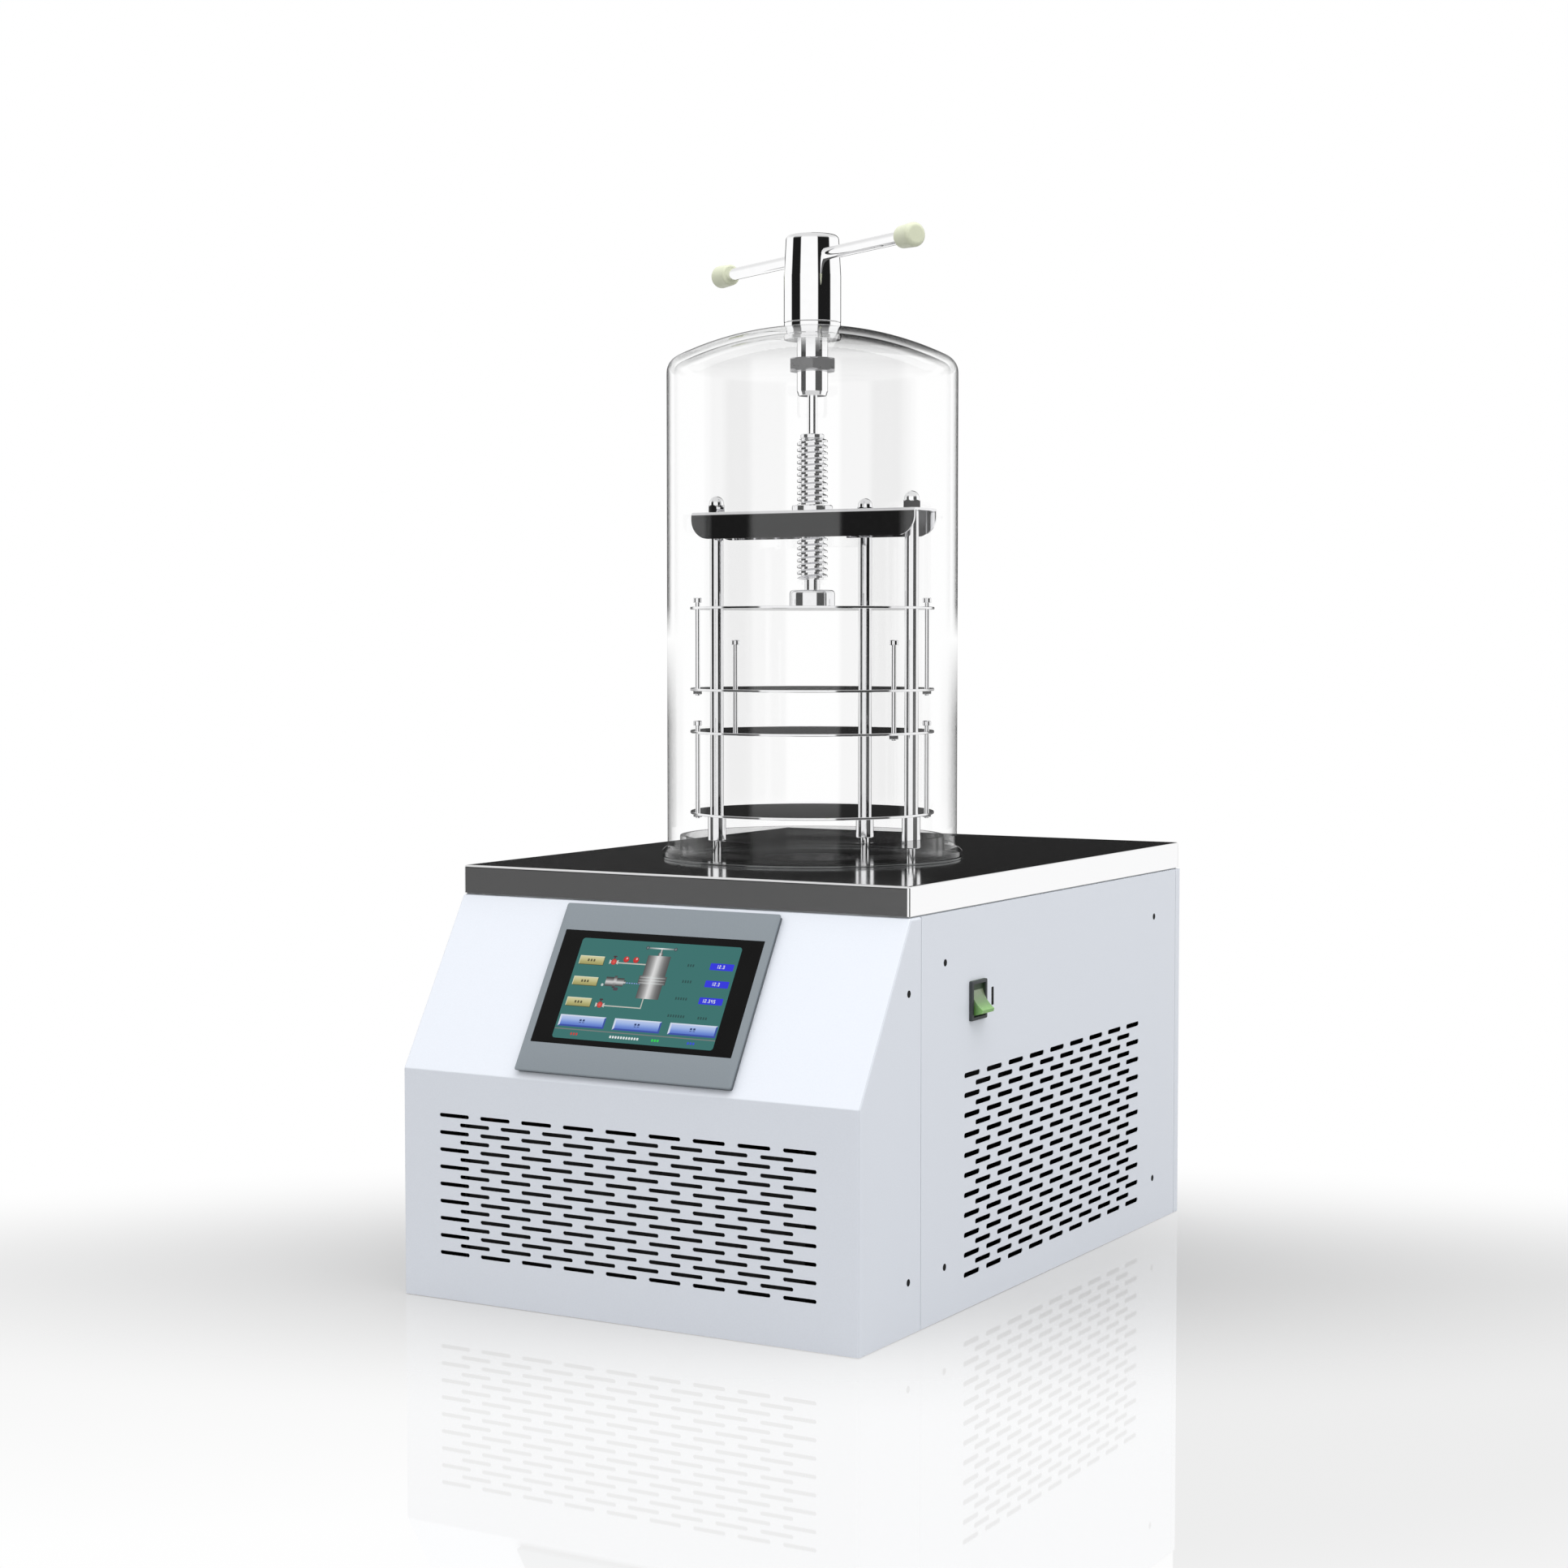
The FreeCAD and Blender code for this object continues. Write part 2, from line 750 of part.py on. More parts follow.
# ---- mains switch
def switch_frame():
    tall = switch_height - 2 * switch_body_margin
    wide = switch_width - 2 * switch_body_margin
    face = box(
        (half_width, half_width + switch_proud), span(switch_y, switch_width), span(switch_z, switch_height)
    )
    face = rounded(face, switch_edge_round, lambda edge: edge.BoundBox.XMin > half_width + 0.1)
    body = box((half_width - switch_body_depth, half_width), span(switch_y, wide), span(switch_z, tall))
    frame = face.fuse(body).removeSplitter()
    inner = (half_width - switch_body_depth + switch_back_wall, half_width + switch_proud + 1)
    frame = frame.cut(box(inner, span(switch_y, window_width), span(switch_z, window_height)))
    for side in (-1, 1):
        start = switch_y + side * (window_width / 2 - 1)
        end = switch_y + side * (window_width / 2 + rocker_pin_length)
        ends = (half_width, start, switch_z), (half_width, end, switch_z)
        hole = rod(rocker_pin_radius + running_gap, *ends)
        frame = frame.cut(hole)
    return frame


def switch_rocker():
    """A rocker on two side pins, pressed in at the top: its hollow face runs out into a lip at the foot."""
    half = window_height / 2 - rocker_end_gap
    foot = half * rocker_foot_share
    fold = (half - rocker_fold_gap, rocker_face + rocker_fold_rise)
    lip = (rocker_lip_height - half, rocker_lip_reach)
    hollow = ((fold[0] + lip[0]) / 2, (fold[1] + lip[1]) / 2 - rocker_dish)
    outline = [
        lip,
        (-half, rocker_lip_reach - rocker_lip_back),
        (-half, -rocker_shoulder),
        (-foot, -rocker_depth),
        (foot, -rocker_depth),
        (half, -rocker_shoulder),
        (half, rocker_face),
        fold,
    ]
    width = window_width - 2 * rocker_gap
    places = [vec(half_width + out, switch_y - width / 2, switch_z + up) for up, out in [*outline, hollow]]
    sides = Part.makePolygon(places[:-1]).Edges
    face = Part.Arc(places[-2], places[-1], places[0]).toShape()
    body = Part.Face(Part.Wire([*sides, face])).extrude(vec(0, width, 0))
    reach = window_width / 2 + rocker_pin_length - rocker_gap
    start = (half_width, switch_y - reach, switch_z)
    rocker = body.fuse(rod(rocker_pin_radius, start, (half_width, switch_y + reach, switch_z)))
    rocker.rotate(vec(half_width, switch_y, switch_z), vec(0, 1, 0), -rocker_tilt)
    return rocker.removeSplitter()


# ---- jar
def dome_edge(radius, top, sphere):
    """Height at which a dome of the given sphere radius meets a cylinder."""
    return top - (sphere - math.sqrt(sphere ** 2 - radius ** 2))


def domed(radius, base, top, sphere, knuckle):
    """A closed round body with a domed top and a rounded shoulder."""
    edge = dome_edge(radius, top, sphere)
    half = radius / 2
    arc = Part.Arc(vec(0, 0, top), vec(half, 0, dome_edge(half, top, sphere)), vec(radius, 0, edge))
    lines = Part.makePolygon([vec(radius, 0, edge), vec(radius, 0, base), vec(0, 0, base), vec(0, 0, top)])
    face = Part.Face(Part.Wire([arc.toShape()] + lines.Edges))
    body = face.revolve(vec(0, 0, 0), vec(0, 0, 1), 360)
    body = rounded(body, knuckle, lambda e: abs(e.BoundBox.ZMax - edge) < 0.1 and e.BoundBox.ZLength < 0.1)
    body.translate(vec(0, jar_centre_y, 0))
    return body


def bell_jar():
    outer = domed(jar_radius, jar_base, jar_top, dome_radius, dome_knuckle)
    inner_base = jar_base - 1
    inner_dome, inner_knuckle = dome_radius - jar_wall, dome_knuckle - jar_wall
    inner = domed(jar_radius - jar_wall, inner_base, dome_under, inner_dome, inner_knuckle)
    flange = turned(
        [
            (jar_radius - 1, jar_base),
            (jar_flange_radius, jar_base),
            (jar_flange_radius, jar_base + jar_flange_edge),
            (jar_radius + 1, jar_base + jar_flange_height),
            (jar_radius - 1, jar_base + jar_flange_height),
        ],
        0,
        jar_centre_y,
    )
    jar = outer.fuse(flange).cut(inner)
    hole = upright(gland_plug_radius + fit_gap, dome_under - 5, jar_top + 1, 0, jar_centre_y)
    return jar.cut(hole).removeSplitter()


def jar_gasket():
    return sleeve(gasket_outer_radius, gasket_inner_radius, plate_top, jar_base)


def inner_collar():
    return sleeve(collar_radius, collar_radius - collar_wall, plate_top, plate_top + collar_height)


# ---- gland
def gland_seats():
    """Heights at which the gland's flange and its washer meet the dome, outside and inside."""
    outside = dome_edge(gland_plug_radius + fit_gap, jar_top, dome_radius)
    inside = dome_edge(gland_flange_radius, dome_under, dome_radius - jar_wall)
    return outside, inside


def gland_bush():
    """A flanged bush through the dome, bored for the drive rod, with a pocket for its seal."""
    stem_end = dome_under - gland_stem_length
    outside, inside = gland_seats()
    bore = rod_radius + running_gap
    outline = [
        (bore, stem_end),
        (gland_stem_radius - gland_stem_chamfer, stem_end),
        (gland_stem_radius, stem_end + 3 * gland_stem_chamfer),
        (gland_stem_radius, inside),
        (gland_plug_radius, inside),
        (gland_plug_radius, outside),
        (gland_flange_radius, outside),
        (gland_flange_radius, gland_top),
        (seal_radius, gland_top),
        (seal_radius, gland_top - seal_drop),
        (bore, gland_top - seal_drop),
    ]
    return turned(outline, 0, jar_centre_y)


def gland_seal():
    floor = gland_top - seal_drop
    return sleeve(seal_radius, rod_radius + running_gap, floor, floor + seal_height)


def gland_washer():
    seat = gland_seats()[1]
    return sleeve(gland_flange_radius, gland_stem_radius + fit_gap, seat - gland_washer_thickness, seat)


def gland_nut():
    top = dome_under - gland_washer_thickness - gland_nut_drop
    base = top - gland_nut_height
    nut = hexagon(gland_nut_flats, base, top, 0, jar_centre_y)
    corner = gland_nut_flats / math.sqrt(3)
    crown = turned(
        [
            (gland_stem_radius, base),
            (corner - 1, base),
            (corner + 0.2, base + 2),
            (corner + 0.2, top - 2),
            (corner - 3, top),
            (gland_stem_radius, top),
        ],
        0,
        jar_centre_y,
    )
    return nut.common(crown)


# ---- handle
def drive_rod():
    """The round rod, with two flats along the end that slides in the screw."""
    shaft = upright(rod_radius, rod_bottom, knob_base + rod_in_knob, 0, jar_centre_y)
    flats_top = screw_top + rod_flats_rise
    keep = box(span(0, rod_flats), span(jar_centre_y, 4 * rod_radius), (rod_bottom, flats_top))
    return shaft.common(keep.fuse(upright(2 * rod_radius, flats_top, knob_top, 0, jar_centre_y)))


def handle_knob():
    outline = [
        (0, knob_base),
        (knob_radius - 1, knob_base),
        (knob_radius, knob_base + 1.5),
        (knob_radius, knob_base + knob_skirt),
        (knob_top_radius, knob_top - knob_round),
        (knob_top_radius, knob_top),
        (0, knob_top),
    ]
    knob = turned(outline, 0, jar_centre_y)
    knob = rounded(knob, knob_edge_fillet, lambda e: abs(e.BoundBox.ZMin - knob_top) < 0.1)
    knob = knob.cut(upright(rod_radius + fit_gap, knob_base - 1, knob_base + rod_in_knob, 0, jar_centre_y))
    return knob.cut(bar_line(bar_radius + fit_gap, -2 * knob_radius, 2 * knob_radius))


def bar_point(distance):
    """The point of the cross bar's line at a distance from the jar's axis."""
    angle = math.radians(bar_angle)
    return vec(distance * math.cos(angle), jar_centre_y + distance * math.sin(angle), knob_top - bar_drop)


def bar_line(radius, start, end):
    """A rod along the cross bar's line, between two distances from the jar's axis."""
    return rod(radius, bar_point(start), bar_point(end))


def cross_bar():
    return bar_line(bar_radius, -bar_half_length, bar_half_length)


def bar_caps():
    """Two caps that widen outwards, with rounded ends, each bored for the end of the bar."""
    inner_end = bar_half_length - cap_cover
    caps = []
    for side in (-1, 1):
        start = bar_point(side * inner_end)
        outwards = bar_point(side * (inner_end + cap_length)) - start
        cap = Part.makeCone(cap_inner_radius, cap_radius, cap_length, start, outwards)
        rims = [edge for edge in cap.Edges if edge.Closed]
        wide_rim = max(rims, key=lambda edge: edge.Length)
        narrow_rim = min(rims, key=lambda edge: edge.Length)
        cap = cap.makeFillet(cap_round, [wide_rim])
        rims = [edge for edge in cap.Edges if edge.Closed and abs(edge.Length - narrow_rim.Length) < 0.1]
        cap = cap.makeFillet(cap_inner_round, rims)
        bore = bar_line(bar_radius + fit_gap, side * inner_end, side * (bar_half_length + fit_gap))
        caps.append(cap.cut(bore))
    return Part.makeCompound(caps)


# ---- rack
def crosshead():
    """A folded T: a channel from side to side and a flat tongue back to the rear post."""
    under = crosshead_top - crosshead_sheet
    low = crosshead_top - crosshead_drop
    depth = (jar_centre_y - crosshead_half_width, jar_centre_y + crosshead_half_width)
    length = (-crosshead_half_length, crosshead_half_length)
    channel = box(length, depth, (low, crosshead_top))
    channel = rounded(
        channel,
        crosshead_bend,
        lambda e: e.BoundBox.ZMin > crosshead_top - 0.1 and e.BoundBox.XLength > crosshead_half_length,
    )
    channel = rounded(
        channel,
        crosshead_corner,
        lambda e: e.BoundBox.ZMax < low + 0.1 and e.BoundBox.YLength > crosshead_half_width,
    )
    inner = (depth[0] + crosshead_sheet, depth[1] - crosshead_sheet)
    channel = channel.cut(box((length[0] - 1, length[1] + 1), inner, (low - 1, under)))
    relief = crosshead_half_width + crosshead_sheet
    channel = channel.cut(box((-relief, relief), (inner[1] - 1, depth[1] + 1), (low - 1, under)))
    rear_y_post = on_circle(post_circle, post_angles[2])[1]
    reach = (inner[1] - 5, rear_y_post + tongue_end)
    tongue = box((-crosshead_half_width, crosshead_half_width), reach, (under, crosshead_top))
    tongue = rounded(
        tongue, tongue_corner, lambda e: e.BoundBox.ZLength > 1 and e.BoundBox.YMin > rear_y_post
    )
    head = channel.fuse(tongue).removeSplitter()
    for angle in post_angles:
        x, y = on_circle(post_circle, angle)
        head = head.cut(upright(stud_radius + fit_gap, under - 1, crosshead_top + 1, x, y))
    return head.cut(upright(nut_hub_radius + fit_gap, under - 1, crosshead_top + 1, 0, jar_centre_y))


def rack_post(angle):
    """A turned post: stud, long body, shoulder that carries the lowest shelf, pin and spigot."""
    x, y = on_circle(post_circle, angle)
    stud_base = crosshead_top - crosshead_sheet
    shoulder_top = shelf_heights[-1]
    shoulder_base = shoulder_top - post_shoulder_length
    spigot_end = plate_top - post_spigot_length
    outline = [
        (0, spigot_end),
        (post_spigot_radius, spigot_end),
        (post_spigot_radius, plate_top),
        (post_pin_radius, plate_top),
        (post_pin_radius, shoulder_base),
        (post_shoulder_radius, shoulder_base),
        (post_shoulder_radius, shoulder_top),
        (post_radius, shoulder_top),
        (post_radius, stud_base),
        (stud_radius, stud_base),
        (stud_radius, crosshead_top + stud_length),
        (0, crosshead_top + stud_length),
    ]
    return turned(outline, x, y)


def acorn_nuts():
    nuts = []
    for angle in post_angles:
        x, y = on_circle(post_circle, angle)
        hexed = hexagon(acorn_flats, crosshead_top, crosshead_top + acorn_hex_height, x, y)
        dome_r = acorn_flats / 2 - 0.5
        centre_z = crosshead_top + acorn_height - dome_r
        dome = Part.makeSphere(dome_r, vec(x, y, centre_z))
        dome = dome.fuse(upright(dome_r, crosshead_top, centre_z, x, y))
        blind = upright(stud_radius + fit_gap, crosshead_top - 1, crosshead_top + stud_length + fit_gap, x, y)
        nuts.append(hexed.fuse(dome).cut(blind).removeSplitter())
    return Part.makeCompound(nuts)


def shelf(index):
    """One shelf of the stack, counted from the top; the lowest sits on the posts' shoulders."""
    base = shelf_heights[index]
    lowest = index == len(shelf_heights) - 1
    plate = upright(shelf_radius, base, base + shelf_thickness, 0, jar_centre_y)
    for angle in post_angles:
        x, y = on_circle(post_circle, angle)
        gap = fit_gap if lowest else slide_gap
        plate = plate.cut(upright(post_radius + gap, base - 1, base + shelf_thickness + 1, x, y))
    for pair, angles in enumerate(bolt_angles):
        if index in (pair, pair + 1):
            gap = slide_gap if index == pair else fit_gap
            for angle in angles:
                x, y = on_circle(bolt_circle, angle)
                plate = plate.cut(upright(bolt_radius + gap, base - 1, base + shelf_thickness + 1, x, y))
    return plate


def hanger_bolts(pair):
    """Two headed bolts that hang from the shelf above and hold the shelf below on their nuts."""
    end = shelf_heights[pair + 1] - hanger_reach
    top = end + bolt_length
    bolts = []
    for angle in bolt_angles[pair]:
        x, y = on_circle(bolt_circle, angle)
        shank = upright(bolt_radius, end, top - bolt_head_height, x, y)
        head = upright(bolt_head_radius, top - bolt_head_height, top, x, y)
        bolts.append(shank.fuse(head).removeSplitter())
    return Part.makeCompound(bolts)


def hanger_nuts(pair):
    under = shelf_heights[pair + 1]
    nuts = []
    for angle in bolt_angles[pair]:
        x, y = on_circle(bolt_circle, angle)
        nut = hexagon(bolt_nut_flats, under - bolt_nut_height, under, x, y)
        nuts.append(nut.cut(upright(bolt_radius + fit_gap, under - bolt_nut_height - 1, under + 1, x, y)))
    return Part.makeCompound(nuts)


# ---- press
def screw_nut():
    hub_end = crosshead_top - nut_hub_length
    bore = screw_radius + running_gap
    outline = [
        (bore, hub_end),
        (nut_hub_radius, hub_end),
        (nut_hub_radius, crosshead_top),
        (nut_flange_radius, crosshead_top),
        (nut_flange_radius, crosshead_top + nut_flange_height),
        (bore, crosshead_top + nut_flange_height),
    ]
    return turned(outline, 0, jar_centre_y)


def press_screw():
    """The press screw, with a flatted socket for the drive rod in its top end."""
    thread_top = thread_base + screw_thread_length
    pin_end = neck_base - screw_pin_depth
    outline = [
        (0, pin_end),
        (screw_neck_radius, pin_end),
        (screw_neck_radius, thread_base),
        (screw_radius, thread_base),
        (screw_radius, thread_top),
        (screw_top_radius, thread_top),
        (screw_top_radius, screw_top),
        (0, screw_top),
    ]
    screw = turned(outline, 0, jar_centre_y)
    floor = screw_top - socket_depth
    socket = upright(rod_radius + running_gap, floor, screw_top + 1, 0, jar_centre_y)
    width = rod_flats + 2 * running_gap
    keep = box(span(0, width), span(jar_centre_y, 4 * rod_radius), (floor, screw_top + 1))
    return screw.cut(socket.common(keep))


def press_foot():
    foot = upright(foot_radius, shelf_1_top, neck_base, 0, jar_centre_y)
    foot = rounded(foot, foot_round, lambda e: e.BoundBox.ZMin > neck_base - 0.1)
    socket_floor = neck_base - screw_pin_depth - slide_gap
    pivot = upright(screw_neck_radius + running_gap, socket_floor, neck_base + 1, 0, jar_centre_y)
    return foot.cut(pivot)


# ---- cold trap
def trap_vessel():
    """A pressed cup under the vapour port, with a rim that is welded to the top plate."""
    outer = vessel_radius + vessel_wall
    floor = vessel_floor - vessel_wall
    outline = [
        (drain_radius + fit_gap, floor),
        (outer, floor),
        (outer, plate_under - vessel_wall),
        (vessel_rim_radius, plate_under - vessel_wall),
        (vessel_rim_radius, plate_under),
        (vessel_radius, plate_under),
        (vessel_radius, vessel_floor),
        (drain_radius + fit_gap, vessel_floor),
    ]
    vessel = turned(outline, 0, jar_centre_y)
    start = (0, jar_centre_y, vacuum_pipe_z)
    end = (0, jar_centre_y + 2 * vessel_radius, vacuum_pipe_z)
    return vessel.cut(rod(vacuum_pipe_radius + fit_gap, start, end))


def evaporator_sleeve():
    """A ridged refrigerant sleeve round the vessel."""
    inner = vessel_radius + vessel_wall + evaporator_gap
    base = vessel_floor + evaporator_start
    wall = inner + evaporator_wall
    outline = [(inner, base), (wall, base)]
    step = evaporator_length / evaporator_ridges
    for ridge in range(evaporator_ridges):
        middle = base + (ridge + 0.5) * step
        for height, reach in ((-0.3, 0), (-0.15, 1), (0.15, 1), (0.3, 0)):
            outline.append((wall + reach * evaporator_ridge, middle + height * step))
    outline += [(wall, base + evaporator_length), (inner, base + evaporator_length)]
    sleeve = turned(outline, 0, jar_centre_y)
    start = (0, jar_centre_y, vacuum_pipe_z)
    end = (0, jar_centre_y + 2 * vessel_radius, vacuum_pipe_z)
    return sleeve.cut(rod(vacuum_pipe_radius + slide_gap, start, end))


def trap_insulation():
    """A foam block round the cold trap."""
    half = foam_half_width
    floor = vessel_floor - vessel_wall - foam_floor
    top = plate_under - vessel_wall
    deep = (jar_centre_y - half, jar_centre_y + half)
    block = box((-half, half), deep, (floor, top))
    outer_radius = vessel_radius + vessel_wall + fit_gap
    vessel = upright(outer_radius, vessel_floor - vessel_wall, top + 1, 0, jar_centre_y)
    reach = vessel_radius + vessel_wall + evaporator_gap + evaporator_wall + evaporator_ridge + slide_gap
    low = vessel_floor + evaporator_start - slide_gap
    high = vessel_floor + evaporator_start + evaporator_length + slide_gap
    pocket = upright(reach, low, high, 0, jar_centre_y)
    block = block.cut(vessel).cut(pocket)
    block = block.cut(upright(drain_radius + slide_gap, floor - 1, vessel_floor, 0, jar_centre_y))
    start = (0, jar_centre_y, vacuum_pipe_z)
    end = (0, jar_centre_y + half + 1, vacuum_pipe_z)
    block = block.cut(rod(vacuum_pipe_radius + slide_gap, start, end))
    for x, y in ((post_circle, 0), (-post_circle, 0), (0, post_circle)):
        block = block.cut(
            upright(post_spigot_radius + 1, top - post_spigot_length, top + 1, x, jar_centre_y + y)
        )
    return block


def vacuum_pipe():
    """The pump connection: a pipe from the vessel to a clamping flange behind the rear panel."""
    start_y = jar_centre_y + vessel_radius
    end_y = rear_y + vacuum_pipe_stand
    z = vacuum_pipe_z
    pipe_body = rod(vacuum_pipe_radius, (0, start_y, z), (0, end_y, z))
    taper_y = end_y - flange_thickness
    taper = Part.makeCone(vacuum_pipe_radius, flange_radius, flange_taper, vec(0, taper_y, z), vec(0, 1, 0))
    flange = rod(flange_radius, (0, taper_y + flange_taper, z), (0, end_y, z)).fuse(taper)
    bore = rod(vacuum_pipe_radius - vacuum_pipe_wall, (0, start_y - 1, z), (0, end_y + 1, z))
    recess = rod(flange_recess_radius, (0, end_y - flange_recess_depth, z), (0, end_y + 1, z))
    clear = upright(vessel_radius, z - flange_radius, z + flange_radius, 0, jar_centre_y)
    return pipe_body.fuse(flange).cut(bore).cut(recess).cut(clear).removeSplitter()


def drain_pipe():
    points = [(0, jar_centre_y, vessel_floor), (0, jar_centre_y, drain_z), (0, rear_y + drain_stand, drain_z)]
    return pipe(points, drain_radius, drain_bend, drain_radius - drain_wall)


def drain_valve():
    """A small ball valve behind the rear panel, with its nozzle and a bored boss for the stem."""
    y = valve_start
    body = box(span(0, valve_width), (y, y + valve_length), span(drain_z, valve_width))
    body = rounded(body, valve_corner, lambda e: e.BoundBox.YLength > valve_length - 0.1)
    nozzle_end = y + valve_length + nozzle_length
    nozzle = rod(nozzle_radius, (0, y + valve_length, drain_z), (0, nozzle_end, drain_z))
    bore = rod(drain_radius - drain_wall, (0, y - 1, drain_z), (0, nozzle_end + 1, drain_z))
    stem = upright(stem_radius + running_gap, drain_z + valve_width / 4, drain_z + valve_width, 0, stem_y)
    return body.fuse(nozzle).cut(bore).cut(stem).removeSplitter()


def drain_lever():
    """The valve lever with its stem, in line with the pipe when open and across it when shut."""
    seat = drain_z + valve_width / 2
    stem = upright(stem_radius, drain_z + valve_width / 4 + slide_gap, seat + stem_height, 0, stem_y)
    low = seat + stem_height - lever_thickness
    blade = box((-lever_width / 2, lever_length), span(stem_y, lever_width), (low, low + lever_thickness))
    blade = rounded(blade, lever_corner, lambda e: e.BoundBox.ZLength > lever_thickness - 0.1)
    return stem.fuse(blade).removeSplitter()


# ---- refrigeration
def compressor():
    """A welded shell on its foot plate."""
    base = pan_sheet + grommet_height
    floor = base + compressor_foot_thickness
    shell = upright(compressor_radius, floor, floor + compressor_height, compressor_x, compressor_y)
    shell = rounded(shell, compressor_round, lambda e: e.BoundBox.ZMin > floor + 1 and e.BoundBox.ZLength < 1)
    foot = box(
        span(compressor_x, compressor_foot_width), span(compressor_y, compressor_foot_depth), (base, floor)
    )
    foot = rounded(
        foot, compressor_foot_corner, lambda e: e.BoundBox.ZLength > compressor_foot_thickness - 0.1
    )
    return shell.fuse(foot).removeSplitter()


def compressor_grommets():
    top = pan_sheet + grommet_height
    feet = []
    for x in span(compressor_x, compressor_foot_width - 2 * grommet_inset):
        for y in span(compressor_y, compressor_foot_depth - 2 * grommet_inset):
            feet.append(upright(grommet_radius, pan_sheet, top, x, y))
    return Part.makeCompound(feet)


def condenser():
    """The finned block between its two end plates, which stand on the base pan."""
    half = condenser_width / 2
    deep = (condenser_y, condenser_y + condenser_depth)
    core = box(
        (-half, half),
        (deep[0] + condenser_plate, deep[1] - condenser_plate),
        (pan_sheet + condenser_inset, condenser_top - condenser_inset),
    )
    for side in (-1, 1):
        x_span = sorted((side * half, side * (half - condenser_plate)))
        core = core.fuse(box(x_span, deep, (pan_sheet, condenser_top)))
    return core.removeSplitter()


def fan_shroud():
    """The duct behind the condenser, with three arms that carry the motor."""
    half = condenser_width / 2
    start = fan_plate_y
    plate = box((-half, half), (start, start + shroud_wall), (pan_sheet, condenser_top))
    ring = rod(duct_radius + shroud_wall, (0, start, fan_axis_z), (0, start + shroud_depth, fan_axis_z))
    shroud = plate.fuse(ring)
    duct = rod(duct_radius, (0, start - 1, fan_axis_z), (0, start + shroud_depth + 1, fan_axis_z))
    shroud = shroud.cut(duct)
    back = start + shroud_depth
    arms = []
    for angle in (90, 210, 330):
        arm = box((0, duct_radius + 1), (back - arm_thickness, back), span(0, arm_width))
        arm.rotate(vec(0, 0, 0), vec(0, 1, 0), -angle)
        arm.translate(vec(0, 0, fan_axis_z))
        arms.append(arm)
    pad = rod(motor_radius, (0, back - arm_thickness, fan_axis_z), (0, back, fan_axis_z))
    shroud = shroud.fuse(arms + [pad])
    arm_front = back - arm_thickness - 1
    shaft_hole = rod(fan_shaft_radius + 1, (0, arm_front, fan_axis_z), (0, back + 1, fan_axis_z))
    return shroud.cut(shaft_hole).removeSplitter()


def fan_motor():
    back = fan_plate_y + shroud_depth
    motor = rod(motor_radius, (0, back, fan_axis_z), (0, back + motor_depth, fan_axis_z))
    motor = rounded(motor, motor_round, lambda e: e.BoundBox.YMin > back + motor_depth - 0.1)
    bearing_end = back + motor_bearing_depth
    bearing = rod(fan_shaft_radius + running_gap, (0, back - 1, fan_axis_z), (0, bearing_end, fan_axis_z))
    return motor.cut(bearing)


def fan_rotor():
    """Hub, shaft and pitched blades in one moulding."""
    back = fan_plate_y + shroud_depth
    hub_end = back - arm_thickness - blade_gap
    hub = rod(hub_radius, (0, hub_end - hub_depth, fan_axis_z), (0, hub_end, fan_axis_z))
    shaft_end = back + motor_bearing_depth - slide_gap
    shaft = rod(fan_shaft_radius, (0, hub_end - 1, fan_axis_z), (0, shaft_end, fan_axis_z))
    rotor = hub.fuse(shaft)
    chord = blade_reach * hub_depth / math.sin(math.radians(blade_pitch))
    for blade_index in range(blade_count):
        blade = box((hub_radius - 3, duct_radius - blade_gap), span(0, blade_thickness), span(0, chord))
        blade.rotate(vec(0, 0, 0), vec(1, 0, 0), blade_pitch)
        blade.rotate(vec(0, 0, 0), vec(0, 1, 0), 360 / blade_count * blade_index)
        blade.translate(vec(0, hub_end - hub_depth / 2, fan_axis_z))
        rotor = rotor.fuse(blade)
    limits = [(0, y, fan_axis_z) for y in (hub_end - 2 * hub_depth, back + motor_depth)]
    limit = rod(duct_radius - blade_gap, *limits)
    return rotor.common(limit).removeSplitter()


def discharge_line():
    """Hot gas line from the compressor along the left side to the condenser."""
    x = compressor_x + discharge_port[0]
    y = compressor_y + discharge_port[1]
    high = compressor_top + discharge_rise
    low = condenser_top + discharge_run_rise
    run_x = discharge_side_inset - half_width
    turn_y = foam_back_y + discharge_drop_y
    end_y = condenser_y + condenser_depth / 2
    points = [
        (x, y, compressor_top),
        (x, y, high),
        (run_x, y, high),
        (run_x, turn_y, high),
        (run_x, turn_y, low),
        (run_x, end_y, low),
        (run_x + discharge_step, end_y, low),
        (run_x + discharge_step, end_y, condenser_top - condenser_inset),
    ]
    return pipe(points, line_radius, line_bend)


def suction_line():
    """Cold gas line from the trap back to the compressor."""
    x = compressor_x + suction_port[0]
    y = compressor_y + suction_port[1]
    run_z = compressor_top + suction_rise
    points = [(x, y, compressor_top), (x, y, run_z), (x, foam_back_y, run_z)]
    return pipe(points, line_radius, line_bend)


def liquid_line():
    """Liquid line from the condenser to the trap, with the filter drier brazed into it."""
    x = condenser_width / 2 - liquid_inset
    y = condenser_y + condenser_depth / 2
    run_z = condenser_top + liquid_rise
    end_y = jar_centre_y - foam_half_width / 2
    points = [
        (x, y, condenser_top - condenser_inset),
        (x, y, run_z),
        (x, end_y, run_z),
        (foam_half_width, end_y, run_z),
    ]
    line = pipe(points, line_radius, line_bend)
    drier_y = span((y + end_y) / 2, drier_length)
    drier = rod(drier_radius, (x, drier_y[0], run_z), (x, drier_y[1], run_z))
    drier = drier.makeFillet(drier_round, drier.Edges[0:1] + drier.Edges[2:3])
    return line.fuse(drier).removeSplitter()


